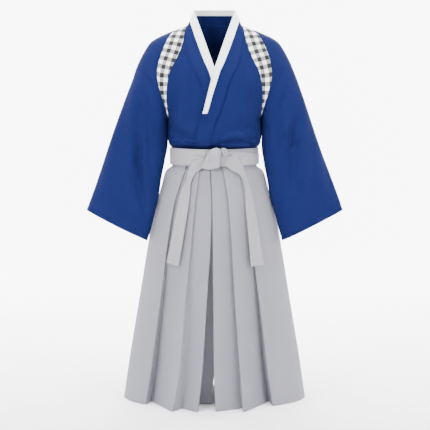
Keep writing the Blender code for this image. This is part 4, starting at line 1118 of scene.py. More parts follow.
@dataclass
class Jacket:
    """The crossed jacket: body panels, check inserts, neck band and sleeves."""

    stitches: Stitches
    form: JacketForm = field(default_factory=JacketForm)
    low_rows: int = 10
    bulge_rows: int = 34
    chest_rows: int = 60
    front_columns: int = 34
    back_columns: int = 30
    sleeve_rows: int = 84
    sleeve_columns: int = 72
    neck_steps: int = 22

    def __post_init__(self) -> None:
        """Works out the levels that all of the body panels share."""
        below = np.linspace(JACKET_HEM_Z, -0.046, self.low_rows)
        waist = (-0.040, -0.034, -0.030, 0.0, 0.024, 0.030)
        bulge = np.linspace(0.033, UNDERARM_Z - 0.002, self.bulge_rows)
        up = (1 - np.cos(np.linspace(0, math.pi, self.chest_rows))) / 2
        self.above = [UNDERARM_Z + max(float(share), 1e-6) for share in up]
        self.levels = [*map(float, below), *waist, *map(float, bulge), *self.above]
        self.collar_seam = Curve(COLLAR, "seam_x", "seam_z")
        self.check_inner = Curve(CHECK_INNER_SEAM, "x")
        self.check_outer = Curve(CHECK_OUTER_SEAM, "x")

    @staticmethod
    def over_lift(x: np.ndarray, z: np.ndarray) -> np.ndarray:
        """How far the left front is lifted where it lies over the right one."""
        return OVER_FRONT_LIFT * ease(*OVER_EDGE_X, x) * ease(*OVER_EDGE_Z, z)

    @staticmethod
    def _seam_press(from_edge: np.ndarray) -> np.ndarray:
        """How deep the seam's pull presses the cloth in at a distance from it."""
        return SEAM_PRESS * np.exp(-((from_edge / SEAM_PRESS_REACH) ** 2))

    def _quiet_at_armhole(self, places: np.ndarray, level: float) -> np.ndarray:
        """1 over the body, fading to 0 at the sleeve's seam and beneath the belt."""
        share = np.ones(places.shape) * ease(*QUIET_UNDER_BELT_Z, min(level, UNDERARM_Z))
        if level > UNDERARM_Z:
            share = share * (1 - ease(0.93, 1.0, np.abs(places)))
        else:
            share = share * (1 - ease(0.96, 1.0, np.abs(places)))
        return share

    def _panel(
        self, levels: Sequence[float], start: Sequence[float], end: Sequence[float], columns: int,
        facing: int = -1, lifted: bool = False,
    ) -> Patch:
        """A panel between two places round the body, given for each level, with the body's creases."""
        creases = JACKET_FRONT_CREASES if facing < 0 else JACKET_BACK_CREASES
        points, normals = [], []
        for level, a, b in zip(levels, start, end):
            speed = np.linalg.norm(self.form.point(np.array([(a + b) / 2 + 1e-3]), level, facing)
                                   - self.form.point(np.array([(a + b) / 2]), level, facing)) / 1e-3
            trim = SEAM / 2 / max(speed, 1e-3) * math.copysign(1, b - a)
            span = abs(b - a) * speed
            near = [min(step, span * (k + 1) / 12) / max(speed, 1e-3) * math.copysign(1, b - a)
                    for k, step in enumerate(SEAM_COLUMNS)]
            middle = np.linspace(a + trim + near[-1], b - trim - near[-1], columns + 1)[1:-1]
            places = np.array([a + trim, *(a + trim + step for step in near), *middle,
                               *(b - trim - step for step in near[::-1]), b - trim])
            row, normal = self.form.point(places, level, facing), self.form.normal(places, level, facing)
            lift = crease_lift(creases, row) * self._quiet_at_armhole(places, level)
            if lifted:
                lift = lift + self.over_lift(row[:, 0], row[:, 2])
            from_edge = np.minimum(np.abs(places - places[0]), np.abs(places - places[-1])) * speed
            lift = lift - self._seam_press(from_edge) * float(ease(0.0, 0.012, span))
            row = row + normal * lift[:, None]
            row[:, 1] = facing * np.maximum(facing * row[:, 1], SEAM / 2)
            points.append(row)
            normals.append(normal)
            places_at_underarm = places if level <= UNDERARM_Z + 1e-5 else places_at_underarm
        share = 1 - ease(0.55, 0.9, np.abs(places_at_underarm))
        eased = eased_over(np.array(points), UNDERARM_Z, UNDERARM_REACH, share)
        return Patch(eased, np.array(normals))

    @staticmethod
    def _inner(patch: Patch, thickness: float, facing: int) -> np.ndarray:
        """A body panel's inner face, kept off the side and shoulder seams."""
        inner = patch.points - patch.normals * thickness
        inner[..., 1] = facing * np.maximum(facing * inner[..., 1], SEAM / 2)
        return inner

    def _make(
        self, name: str, patch: Patch, finish: ClothFinish, facing: int, **words: object
    ) -> bpy.types.Object:
        """A body panel as a finished piece."""
        made = Piece.between(name, patch.points, self._inner(patch, WALL, facing), patch, finish)
        return Piece.finish(made, patch, finish.slot, [name], **words)

    def fronts(self) -> None:
        """The two fronts, with a row of stitches beside the check's seam."""
        for side_name, side in SIDES.items():
            start, end = [], []
            for level in self.levels:
                start.append(side * self.form.round_at(self.collar_seam, level))
                above = level >= UNDERARM_Z
                end.append(side * self.form.round_at(self.check_inner, level) if above else float(side))
            patch = self._panel(self.levels, start, end, self.front_columns, lifted=side_name == "left")
            first = len(self.levels) - len(self.above)
            edge = self._row_inset(patch, -1, EDGE_STITCH)[first + 2 :]
            sewn = self.stitches.along(f"front_{side_name}_stitches", [edge], BLUE_TWILL)
            self._make(f"jacket_front_{side_name}", patch, BLUE_TWILL, -1, stitched=[sewn])

    @staticmethod
    def _row_inset(patch: Patch, column: int, inset: float, lift: float = 0.0001) -> np.ndarray:
        """The line a little inside a patch's edge column, just over the cloth."""
        edge = patch.points[:, column]
        inside = patch.points[:, column + (3 if column == 0 else -3)]
        line = edge + unit(inside - edge) * inset
        return line + patch.normals[:, column] * lift

    def inserts_and_shoulders(self) -> None:
        """The check crescents and the front cloth beside the sleeves."""
        inner = [self.form.round_at(self.check_inner, level) for level in self.above]
        outer = [self.form.round_at(self.check_outer, level) for level in self.above]
        for side_name, side in SIDES.items():
            check = self._panel(self.above, [side * p for p in inner], [side * p for p in outer], 12)
            check.strip = True
            self._make(f"check_{side_name}", check, CHECK_CLOTH, -1)
            patch = self._panel(self.above, [side * p for p in outer], [float(side)] * len(outer), 18)
            patch.strip = True
            edge = self._row_inset(patch, 0, EDGE_STITCH)[2:-2]
            sewn = self.stitches.along(f"shoulder_{side_name}_stitches", [edge], BLUE_TWILL)
            self._make(f"shoulder_{side_name}", patch, BLUE_TWILL, -1, stitched=[sewn])

    def back(self) -> None:
        """The back, from side seam to side seam and up to the neckline."""
        first = COLLAR[0]
        neck_share = RIDGE[1].x / RIDGE[-1].x
        outside = np.linspace(neck_share, 1, self.back_columns // 2)
        across = np.linspace(-neck_share, neck_share, self.back_columns)
        base = np.array([*(-outside[:0:-1]), *across, *outside[1:]])
        inside = np.minimum(np.abs(base) / neck_share, 1.0)
        round_neck = np.sqrt(1 - inside**2)
        points, normals = [], []
        for level in self.levels:
            up = max(level - UNDERARM_Z, 0.0)
            places = base.copy()
            row, normal = self.form.point(places, level, 1), self.form.normal(places, level, 1)
            pulled = float(ease(0.35, 1.0, up)) * (inside < 1)
            if np.any(pulled > 0):
                below = np.array([
                    self.form.point(np.array([p]), UNDERARM_Z + min(up, 1 - 0.12 * r), 1)[0]
                    for p, r in zip(places, round_neck)
                ])
                round_row = round_neck ** (1 + 2.5 * (1 - float(ease(0.35, 1.0, up))))
                neckline = np.stack([
                    np.copysign(first.seam_x * inside, base),
                    NECK_BACK_DEPTH * round_row + SEAM / 2,
                    first.seam_z + (NECK_BACK_Z - first.seam_z) * round_row + SEWN_OVERLAP,
                ], axis=1)
                pulled_row = below + (neckline - below) * pulled[:, None]
                row = np.where((pulled > 0)[:, None], pulled_row, row)
                leaning = unit(row * [1, 1, 0] + [0, 0.01, 0.03])
                normal = unit(normal + (leaning - normal) * pulled[:, None])
            lift = crease_lift(JACKET_BACK_CREASES, row) * self._quiet_at_armhole(places, level)
            row = row + normal * (lift * (1 - ease(0.9, 1.0, up)))[:, None]
            row[:, 1] = np.maximum(row[:, 1], SEAM / 2)
            points.append(row)
            normals.append(normal)
        grid, outwards = np.array(points), np.array(normals)
        up = np.maximum(np.array(self.levels) - UNDERARM_Z, 0.0)
        smooth = (ease(*BACK_SMOOTH_FROM, up) * (1 - ease(*BACK_SMOOTH_TO, up)))[:, None, None] * 0.5
        for _ in range(BACK_SMOOTH_TURNS):
            for rows in (grid, outwards):
                between = (rows[:, :-2] + rows[:, 2:]) / 2
                rows[:, 1:-1] += (between - rows[:, 1:-1]) * smooth
        self._make("jacket_back", Patch(grid, unit(outwards)), BLUE_TWILL, 1)

    def _collar_stations(self, side_name: str) -> list[tuple[np.ndarray, np.ndarray, float]]:
        """The neck band's stations from the middle of the back to the hem: seam, rim and share of white."""
        side = SIDES[side_name]
        first = COLLAR[0]
        mirror = np.array([side, 1, 1])
        stations = []
        for k in range(self.neck_steps):
            angle = math.pi / 2 * (1 - k / self.neck_steps)
            c, s = math.cos(angle), math.sin(angle)
            seam_z = first.seam_z + (NECK_BACK_Z - first.seam_z) * s
            rim_z = first.rim_z + (NECK_RIM_BACK_Z - first.rim_z) * s
            seam = np.array([first.seam_x * c, NECK_BACK_DEPTH * s, seam_z])
            rim = np.array([first.rim_x * c, NECK_RIM_BACK_DEPTH * s, rim_z])
            stations.append((seam * mirror, rim * mirror, first.white))
        rim_z_at, rim_x_at, white_at = (Curve(COLLAR, name, "seam_z") for name in CollarRow._fields[2:])
        v_bottom = next(row for row in COLLAR if row.rim_x <= 0)
        v_depth = -self.form.at_front(0.0, v_bottom.rim_z)[0][1]
        for level in reversed(self.levels):
            place = np.array([self.form.round_at(self.collar_seam, level)])
            seam, normal = self.form.point(place, level)[0], self.form.normal(place, level)[0]
            rim_x, rim_z, white = (float(curve(seam[2])) for curve in (rim_x_at, rim_z_at, white_at))
            lift = BAND_LIFT
            if side_name == "left":
                lift += float(self.over_lift(seam[0], seam[2]))
                crossing = ease(*CROSSING_TOP_Z, rim_z) * ease(*CROSSING_BOTTOM_Z, rim_z)
                lift = max(lift, CROSSING_LIFT * float(crossing))
            if rim_z > v_bottom.rim_z:
                drop = (first.rim_z - rim_z) / (first.rim_z - v_bottom.rim_z)
                rim = np.array([rim_x, -v_depth * max(drop, 0.0) ** 0.8, rim_z]) + normal * lift * drop
            else:
                rim, rim_normal = self.form.at_front(rim_x, max(rim_z, JACKET_HEM_Z + 1e-4))
                rim = rim + rim_normal * lift
            stations.append(((seam + normal * lift) * mirror, rim * mirror, white))
        return stations

    def collar(self) -> None:
        """The blue neck band, the white strip on it and the strip's fold inside the neck."""
        stations = self._collar_stations("right")[:0:-1] + self._collar_stations("left")
        grid = []
        for seam, rim, white in stations:
            trim = BAND_TRIM / np.linalg.norm(rim - seam)
            width = float(np.linalg.norm(rim - seam))
            edge = [0.0, *(min(step / width, 0.25 * (1 - white)) for step in SEAM_COLUMNS[:2])]
            shares = [*edge, *np.linspace(edge[-1], 1 - white, 9)[1:], *np.linspace(1 - white, 1, 7)[1:]]
            grid.append([seam + (rim - seam) * (trim + (1 - trim) * share) for share in shares])
        grid = np.array(grid)
        half = len(grid) // 2
        for part in (slice(0, half - self.neck_steps), slice(half + self.neck_steps, len(grid))):
            grid[part] = eased_over(grid[part], UNDERARM_Z, UNDERARM_REACH, np.ones(grid.shape[1]))
        normals = grid_normals(grid)
        if np.sum(normals * grid * [1, 1, 0]) < 0:
            normals = -normals
        quiet = ease(*QUIET_UNDER_BELT_Z, grid[..., 2]) * (grid[..., 1] < -0.02)
        band = Patch(grid, normals).creased(JACKET_FRONT_CREASES, quiet)
        from_seam = np.linalg.norm(grid - grid[:, :1], axis=2)
        band.points -= normals * self._seam_press(from_seam)[..., None]
        seam_line = Jacket._row_inset(band, 0, EDGE_STITCH)
        joint = half + int(np.argmin(np.abs(grid[half:, 0, 2] - 0.133)))
        across = band.points[joint, ::2] + band.normals[joint, ::2] * STITCH_LIFT
        sewn = self.stitches.along("collar_stitches", [seam_line[8:-8], across], BLUE_TWILL)
        made = Piece.wall("collar_band", band, BAND_WALL, BLUE_TWILL)
        Piece.finish(made, band, "blue_twill", ["collar_band"], stitched=[sewn])
        self._white_strip(band, half)

    def _white_strip(self, band: Patch, half: int) -> None:
        """The white strip over the band's rim side, and its fold inside the back of the neck."""
        over = [k for k in range(half, len(band.points)) if band.points[k, WHITE_COLUMN, 2] >= WHITE_END_Z]
        under = [k for k in range(half) if band.points[k, WHITE_COLUMN, 2] >= WHITE_UNDER_END_Z]
        rows = slice(min(under), max(over) + 1)
        outwards = band.normals[rows, WHITE_COLUMN:]
        patch = Patch(band.points[rows, WHITE_COLUMN:] + outwards * (WHITE_LIFT + WHITE_WALL), outwards)
        lines = [self._row_inset(patch, column, EDGE_STITCH) for column in (0, -1)]
        sewn = self.stitches.along("collar_white_stitches", lines, WHITE_CLOTH)
        made = Piece.wall("collar_white", patch, WHITE_WALL, WHITE_CLOTH)
        Piece.finish(made, patch, "white_cloth", ["collar_white"], held="folded", stitched=[sewn])
        rows = slice(half - self.neck_steps - 4, half + self.neck_steps + 5)
        half_white = WHITE_COLUMN + 3
        outwards = band.normals[rows, half_white:]
        fold = Patch(band.points[rows, half_white:] - outwards * (BAND_WALL + WHITE_LIFT), outwards)
        made = Piece.wall("collar_white_fold", fold, WHITE_WALL, WHITE_CLOTH)
        Piece.finish(made, fold, "white_cloth", ["collar_white_fold"], held="folded")

    def sleeves(self) -> None:
        """The wide straight sleeves, with a hem stitched inside each cuff."""
        curves = {name: Curve(SLEEVE, name, "along") for name in SleeveRow._fields[1:]}
        top = np.array([ARMHOLE[-1].x, 0.0, ARMHOLE[-1].z])
        middle = np.array([(ARMHOLE[0].x + ARMHOLE[-1].x) / 2, 0.0, (ARMHOLE[0].z + ARMHOLE[-1].z) / 2])
        length = UNDERARM_Z - CUFF_INNER_Z
        sewn_at = 1 - CUFF_STITCH / length
        shares = np.unique([
            *np.linspace(0, 1, self.sleeve_rows), sewn_at, sewn_at - 0.006, sewn_at + 0.006,
            *(step / length for step in SEAM_COLUMNS),
        ])
        angles = np.linspace(0, 2 * math.pi, self.sleeve_columns, endpoint=False)
        share = (1 + np.cos(angles)) / 2
        seam_z = UNDERARM_Z + (top[2] - UNDERARM_Z) * share
        bow = self.form.armhole(seam_z) - (ARMHOLE[0].x + (top[0] - ARMHOLE[0].x) * share)
        rings = []
        for along in shares:
            inner = np.array([curves["inner_x"](along), curves["inner_y"](along),
                              UNDERARM_Z + (CUFF_INNER_Z - UNDERARM_Z) * along])
            outer = np.array([top[0] + (CUFF_OUTER_X - top[0]) * along, curves["outer_y"](along),
                              top[2] + (CUFF_OUTER_Z - top[2]) * along])
            ring = inner + (outer - inner) * share[:, None]
            ring[:, 1] += curves["half_depth"](along) * np.sin(angles)
            ring[:, 0] += bow * (1 - ease(0.0, 0.25, along)) - SEWN_OVERLAP * (1 - ease(0.0, 0.01, along))
            rings.append(ring)
        grid = np.array(rings)
        normals = grid_normals(grid, closed=True)
        if np.sum(normals[0] * (grid[0] - middle)) < 0:
            normals = -normals
        normals[0] = unit(grid[0] - middle)
        loose = ease(0.0, 0.12, shares)[:, None] * (1 - 0.5 * ease(0.93, 1.0, shares))[:, None]
        groove = CUFF_GROOVE * np.exp(-(((shares - sewn_at) / CUFF_GROOVE_WIDTH) ** 2))[:, None]
        for side_name, side in SIDES.items():
            mirror = np.array([side, 1, 1])
            points, outwards = grid * mirror, normals * mirror
            back = SLEEVE_BACK_CREASES if side > 0 else mirrored(SLEEVE_BACK_CREASES)
            front_share = np.clip(-outwards[..., 1] * 1.6, 0, 1)
            back_share = np.clip(outwards[..., 1] * 1.6, 0, 1)
            lift = crease_lift(SLEEVE_FRONT_CREASES[side_name], points) * front_share
            lift += crease_lift(back, points) * back_share
            wave = SLEEVE_WAVE * np.sin(3 * angles[None, :] + 7 * shares[:, None] + side)
            total = (lift + wave) * loose - groove - self._seam_press(shares * length)[:, None]
            patch = Patch(points + outwards * total[..., None], outwards, closed=True)
            row = int(np.argmin(np.abs(shares - sewn_at)))
            ring = patch.wrapped()[row] + np.concatenate([outwards[row], outwards[row, :1]]) * STITCH_LIFT
            sewn = self.stitches.along(f"cuff_{side_name}_stitches", [ring], BLUE_TWILL)
            made = Piece.wall(f"sleeve_{side_name}", patch, WALL, BLUE_TWILL)
            Piece.finish(made, patch, "blue_twill", [f"sleeve_{side_name}"], stitched=[sewn])

    def build(self) -> None:
        """Makes every piece of the jacket."""
        self.back()
        self.fronts()
        self.inserts_and_shoulders()
        self.collar()
        self.sleeves()


@dataclass
class Hakama:
    """The pleated divided trousers."""

    stitches: Stitches
    front_arc_steps: int = 22
    back_arc_steps: int = 34
    span: float = 0.011
    least_span: float = 0.006
    leg_columns: int = 26

    def __post_init__(self) -> None:
        """Reads the tables into curves and sets the rows' heights."""
        self.width = Curve(HAKAMA, "half_width")
        self.depth = {name: Curve(HAKAMA, name) for name in ("front", "back")}
        self.ends = {name: Curve(INSEAM, name) for name in InseamRow._fields[1:]}
        hem = (HEM_Z, HEM_Z + 0.004, HEM_Z + 0.0135, HEM_Z + HAKAMA_HEM_STITCH, HEM_Z + 0.0165)
        legs = np.linspace(HEM_Z + 0.024, -0.200, 46)
        hips = np.linspace(-0.190, -0.048, 22)
        top = (-0.044, -0.040, -0.036, -0.033, -0.030, -0.010, HAKAMA_TOP_Z)
        self.levels = [*hem, *map(float, legs), *map(float, hips), *top]

    @staticmethod
    def _pleat(row: PleatRow) -> Curve:
        """How far a pleat's fold lies outwards from the middle, by height."""
        places = (row.waist, row.hip, row.knee, row.shin, row.hem)
        return Curve([SeamRow(z, x) for z, x in zip(PLEAT_HEIGHTS, places)], "x")

    @staticmethod
    def _fold(before: tuple, corner: tuple, after: tuple) -> list[np.ndarray]:
        """A fold's two points, a layer apart, where a cloth's middle line turns back at a corner."""
        corner = np.array(corner)
        came = unit(corner - np.array(before))
        goes = unit(np.array(after) - corner)
        back = unit(goes - came)
        across = np.array([-back[1], back[0]])
        if np.dot(across, came + goes) < 0.5 * across[1]:
            across = -across
        return [corner - across * PLEAT_LAYER / 2, corner + across * PLEAT_LAYER / 2]

    def section(
        self, z: float, pleats: Sequence[PleatRow], depth_of: str, end_at: float, at_tuck: bool
    ) -> list[np.ndarray]:
        """The middle line of a pleated cloth at one height, from the side seam inwards.

        Args:
            z: the height.
            pleats: the pleats, from the side inwards.
            depth_of: front or back.
            end_at: how far from the middle the cloth ends.
            at_tuck: whether it ends in its last pleat's tuck.

        Returns:
            Points that hold the distance outwards from the middle and the depth.
        """
        steps = self.front_arc_steps if depth_of == "front" else self.back_arc_steps
        half_width, depth = float(self.width(z)), float(self.depth[depth_of](z))
        down = min(max((PLEAT_HEIGHTS[0] - z) / (PLEAT_HEIGHTS[0] - HEM_Z), 0.0), 1.0)
        settled = float(ease(PLEAT_HEIGHTS[1], HEM_Z, z))

        def outer_form(u: float) -> float:
            """The outer form's depth at a distance from the middle."""
            return depth * math.sqrt(max(1 - (u / half_width) ** 2, 0.0))

        def layer(u: float) -> float:
            """One layer's depth there, which grows as the form turns away."""
            return PLEAT_LAYER * math.hypot(1, depth**2 * u / (half_width**2 * outer_form(u)))

        first, places = pleats[0], [float(self._pleat(pleat)(z)) for pleat in pleats]
        slit = SLIT_HALF_WIDTH * float(ease(SLIT_BOTTOM_Z, SLIT_CLOSING_Z, z)) + SEAM / 2
        start_angle, end_angle = math.asin(slit / depth), math.acos(places[0] / half_width)
        points = []
        for k in range(steps):
            share = k / steps
            angle = start_angle + (end_angle - start_angle) * share
            soft = 0.0016 * down * math.sin(math.pi * share) * math.sin(5 * share + 6 * z)
            points.append((
                half_width * math.cos(angle),
                depth * math.sin(angle) - first.set_hem * settled * share + soft,
            ))
        before = None
        for index, (pleat, u) in enumerate(zip(pleats, places)):
            face = outer_form(u) - pleat.set_hem * settled
            tuck_u = u + pleat.tuck_waist + (pleat.tuck_hem - pleat.tuck_waist) * down**0.6
            opened = pleat.open_hem * down**1.3
            last = index == len(pleats) - 1
            crest = (u, face - layer(u) / 2)
            if last and at_tuck:
                share = max(end_at - u, 0.0) / (before[0] - u)
                tuck = (end_at, face + (before[1] - face) * share - layer(u) - opened)
                points += [*self._fold(points[-1], crest, tuck), tuck]
                break
            if before is None:
                front_at_tuck = outer_form(max(tuck_u, u)) - pleat.set_hem * settled
            else:
                front_at_tuck = face + (before[1] - face) * (max(tuck_u, u) - u) / (before[0] - u)
            tuck = (tuck_u, front_at_tuck - 1.5 * layer(tuck_u) - opened)
            if last:
                following = (end_at, min(tuck[1], face - 3 * layer(u)))
            else:
                next_u = places[index + 1]
                following = (next_u, outer_form(next_u) - pleats[index + 1].set_hem * settled)
            past_u = min(u, tuck_u - 0.15 * (tuck_u - following[0]))
            slope = (tuck[1] - following[1]) / (tuck_u - following[0])
            line = following[1] + slope * (past_u - following[0])
            past = (past_u, min(line, face - 2 * layer(u)) if tuck_u > u else line)
            points += [*self._fold(points[-1], crest, tuck), *self._fold(crest, tuck, past), past]
            before = past
            if last:
                points.append(following)
        return [np.array(point) for point in points]

    def _splits(self, lines: Sequence[list]) -> list[int]:
        """How many spans each stretch between two points is split into, the same at every height."""
        lengths = np.linalg.norm(np.diff(np.array(lines), axis=1), axis=2).max(axis=0)
        return [
            1 if length < self.least_span else max(int(math.ceil(length / self.span)), 2)
            for length in lengths
        ]

    @staticmethod
    def _offset(points: np.ndarray, distance: float) -> np.ndarray:
        """A middle line moved sideways, with its corners mitred."""
        directions = unit(np.diff(points, axis=0))
        before = np.concatenate([directions[:1], directions])
        after = np.concatenate([directions, directions[-1:]])
        side_before = np.stack([-before[:, 1], before[:, 0]], axis=1)
        side_after = np.stack([-after[:, 1], after[:, 0]], axis=1)
        mitre = side_before + side_after
        mitre = mitre / np.maximum(np.sum(mitre * side_before, axis=1), 0.35)[:, None]
        return points + mitre * distance

    def _pleated(self, side: int, facing: int, lines: list) -> tuple[np.ndarray, np.ndarray]:
        """A pleated cloth's outer and inner grid from its middle lines."""
        splits = self._splits(lines)
        outer, inner = [], []
        for z, line in zip(self.levels, lines):
            fine = [line[0]]
            for a, b, count in zip(line, line[1:], splits):
                fine += [a + (b - a) * k / count for k in range(1, count + 1)]
            middle = np.array(fine)
            for rows, distance in ((outer, WALL / 2), (inner, -WALL / 2)):
                moved = self._offset(middle, distance)
                y = facing * np.maximum(moved[:, 1], SEAM / 2)
                rows.append(np.stack([side * moved[:, 0], y, np.full(len(y), z)], axis=1))
        return np.array(outer), np.array(inner)

    def panels(self) -> None:
        """The pleated fronts and backs, each with its stitched hem."""
        for side_name, side in SIDES.items():
            for where, facing in (("front", -1), ("back", 1)):
                pleats = FRONT_PLEATS[side_name] if where == "front" else BACK_PLEATS
                at_tuck = where == "front" and side_name == "left"
                end = self.ends[f"{where}_{side_name}"]
                lines = [self.section(z, pleats, where, float(end(z)), at_tuck) for z in self.levels]
                name = f"hakama_{where}_{side_name}"
                outer, inner = self._pleated(side, facing, lines)
                patch = Patch(outer, unit(outer - inner))
                row = self.levels.index(HEM_Z + HAKAMA_HEM_STITCH)
                hem = outer[row] + patch.normals[row] * STITCH_LIFT
                sewn = self.stitches.along(f"hem_{where}_{side_name}_stitches", [hem], GREY_CLOTH)
                made = Piece.between(name, outer, inner, patch, GREY_CLOTH)
                Piece.finish(made, patch, "grey_cloth", [name], stitched=[sewn])

    def inner_legs(self) -> None:
        """The inner sides of the divided legs."""
        levels = [z for z in self.levels if z < CROTCH_Z]
        for side_name, side in SIDES.items():
            behind = WALL / 2 + SEAM if side_name == "right" else SEAM
            aside = WALL / 2 if side_name == "right" else 0.0
            outer = []
            for z in levels:
                front_end = float(self.ends[f"front_{side_name}"](z))
                back_end = float(self.ends[f"back_{side_name}"](z))
                at_tuck = side_name == "left"
                front = self.section(z, FRONT_PLEATS[side_name], "front", front_end, at_tuck)[-1]
                back = self.section(z, BACK_PLEATS, "back", back_end, False)[-1]
                x = side * (front_end + aside - WALL / 2)
                ys = np.linspace(-front[1] + behind, back[1] - WALL / 2 - SEAM, self.leg_columns)
                outer.append(np.stack([np.full(len(ys), x), ys, np.full(len(ys), z)], axis=1))
            outer = np.array(outer)
            patch = Patch(outer, np.broadcast_to(np.array([-side, 0.0, 0.0]), outer.shape).copy())
            made = Piece.wall(f"inner_leg_{side_name}", patch, WALL, GREY_CLOTH)
            Piece.finish(made, patch, "grey_cloth", [f"inner_leg_{side_name}"])

    def build(self) -> None:
        """Makes every piece of the trousers."""
        self.panels()
        self.inner_legs()


@dataclass
class Belt:
    """The hakama's waistband, its stiff back board, and the ties knotted at the front."""

    stitches: Stitches
    jacket_form: JacketForm
    band_steps: int = 120
    height_steps: int = 18

    def __post_init__(self) -> None:
        """Reads the hakama's form, on which the ends of the ties hang."""
        self.hakama_width = Curve(HAKAMA, "half_width")
        self.hakama_front = Curve(HAKAMA, "front")

    @staticmethod
    def point(
        angle: np.ndarray, height: np.ndarray, lift: np.ndarray | float, facing: int = -1
    ) -> np.ndarray:
        """Points over the waistband, by the angle round it and the height from its middle."""
        rise = BELT_SIDE_RISE * (np.sin(angle) ** 2 if facing < 0 else np.ones(np.shape(angle)))
        x = (BELT_HALF_WIDTH + lift) * np.sin(angle)
        y = facing * np.maximum((BELT_HALF_DEPTH + lift) * np.cos(angle), SEAM / 2)
        return np.stack(np.broadcast_arrays(x, y, height + rise), axis=-1)

    def _strip(
        self, name: str, angles: np.ndarray, bottom: np.ndarray, top: np.ndarray, lift: float,
        finish: ClothFinish, facing: int = -1, creases: Sequence[Crease] = (), rests_on: Sequence[str] = (),
    ) -> bpy.types.Object:
        """A strip of cloth on the waistband with stitched edges."""
        share = np.linspace(0, 1, self.height_steps)
        heights = bottom[:, None] + (top - bottom)[:, None] * share[None, :]
        grid_angles = np.repeat(angles[:, None], self.height_steps, axis=1)
        outer = self.point(grid_angles, heights, lift, facing)
        inner = self.point(grid_angles, heights, lift - BELT_WALL, facing)
        rounded = 0.0004 * (np.abs(2 * share - 1) ** 6)[None, :, None]
        normals = unit(outer - inner)
        fade = np.sin(math.pi * np.clip(share, 0.0, 1.0)) ** 0.5
        push = crease_lift(creases, outer) * fade[None, :]
        outer = outer + normals * (push[..., None] - rounded)
        patch = Patch(outer, normals)
        lines = [Jacket._row_inset(patch, column, EDGE_STITCH) for column in (0, -1)]
        sewn = self.stitches.along(f"{name}_stitches", lines, finish)
        made = Piece.between(name, outer, inner, patch, finish)
        return Piece.finish(
            made, patch, finish.slot, [name], held="stretched", rests_on=rests_on, stitched=[sewn]
        )

    @staticmethod
    def _angle(x: float) -> float:
        """The angle round the waistband at a distance from the middle."""
        return math.asin(x / BELT_HALF_WIDTH)

    def bands(self) -> None:
        """The waistband's halves."""
        half = np.full(self.band_steps, BELT_HEIGHT / 2)
        angles = np.linspace(-math.pi / 2, math.pi / 2, self.band_steps)
        self._strip("waistband_front", angles, -half, half, 0.0, GREY_CLOTH)
        self._strip("waistband_back", angles, -half, half, 0.0, GREY_CLOTH, facing=1)

    def ties(self) -> None:
        """The ties that lie on the waistband, from each side to the knot, and the upper layer."""
        half = BELT_HEIGHT / 2
        first_lift = SEAM + BELT_WALL
        angles = np.linspace(-math.pi / 2, self._angle(-0.020), 70)
        low = np.full(70, -half + 0.001)
        self._strip("tie_right", angles, low, np.full(70, half - 0.001), first_lift, GREY_TIE)
        angles = np.linspace(self._angle(-0.105), self._angle(-0.031), 46)
        low = np.full(46, -half + 0.004)
        self._strip("tie_wrap", angles, low, np.full(46, half - 0.0005), 2 * first_lift, GREY_TIE,
                    creases=BELT_CREASES[:3], rests_on=["tie_right"])
        share = np.linspace(0, 1, 70)
        angles = math.pi / 2 + (self._angle(0.020) - math.pi / 2) * share
        top = 0.006 + 0.014 * ease(0.1, 0.8, share)
        self._strip("tie_left", angles, np.full(70, -half + 0.001), top, first_lift, GREY_TIE,
                    creases=BELT_CREASES[3:], rests_on=["waistband_front"])

    def board(self) -> None:
        """The stiff trapezoid at the small of the back, with stitched edges."""
        bottom, top = BELT_HEIGHT / 2 + BELT_SIDE_RISE + SEAM, BOARD_TOP_Z
        places = np.linspace(0, 1, 241)
        outer, inner = [], []
        for z in np.linspace(bottom, top, 26):
            half = BOARD_HALF_WIDTH - BOARD_TAPER * (z - bottom) / (top - bottom)
            x = np.linspace(-half, half, 41)
            back = self.jacket_form.point(places, z, 1)
            over_jacket = np.interp(np.abs(x), back[:, 0], back[:, 1]) + BOARD_LIFT
            over_band = (BELT_HALF_DEPTH - BOARD_WALL) * np.sqrt(1 - (x / BELT_HALF_WIDTH) ** 2)
            depth = np.maximum(over_band, over_jacket)
            normal = unit(np.stack([x / BELT_HALF_WIDTH**2, depth / BELT_HALF_DEPTH**2, x * 0], axis=1))
            base = np.stack([x, depth, np.full(len(x), z)], axis=1)
            outer.append(base + normal * BOARD_WALL)
            inner.append(base)
        outer, inner = np.array(outer), np.array(inner)
        patch = Patch(outer, unit(outer - inner))
        rim = [self._row_inset_rows(patch, row) for row in (0, -1)]
        sides = [Jacket._row_inset(patch, column, EDGE_STITCH) for column in (0, -1)]
        sewn = self.stitches.along("back_board_stitches", rim + sides, GREY_CLOTH)
        made = Piece.between("back_board", outer, inner, patch, GREY_CLOTH)
        Piece.finish(made, patch, "grey_cloth", ["back_board"], held="stretched", stitched=[sewn])

    @staticmethod
    def _row_inset_rows(patch: Patch, row: int) -> np.ndarray:
        """The line a little inside a patch's edge row, just over the cloth."""
        edge, inside = patch.points[row], patch.points[row + (2 if row == 0 else -2)]
        return edge + unit(inside - edge) * EDGE_STITCH + patch.normals[row] * 0.0001

    def _in_front(self, x: np.ndarray, z: np.ndarray, side_name: str) -> np.ndarray:
        """The depth that is just clear of the belt's ties and of the hakama's front."""
        lift = TAIL_OVER_BELT[side_name]
        belt = (BELT_HALF_DEPTH + lift) * np.sqrt(np.maximum(1 - (x / (BELT_HALF_WIDTH + lift)) ** 2, 0.0))
        round_form = np.sqrt(np.maximum(1 - (x / self.hakama_width(z)) ** 2, 0.0))
        clear = TAIL_CLEARANCE * (0.55 + 0.45 * ease(-0.10, -0.25, z))
        cloth = self.hakama_front(z) * round_form + clear
        lower = cloth + np.maximum(belt - cloth, 0.0) * ease(-0.14, -0.060, z)
        return np.where(z > -0.060, np.maximum(cloth, belt), lower)

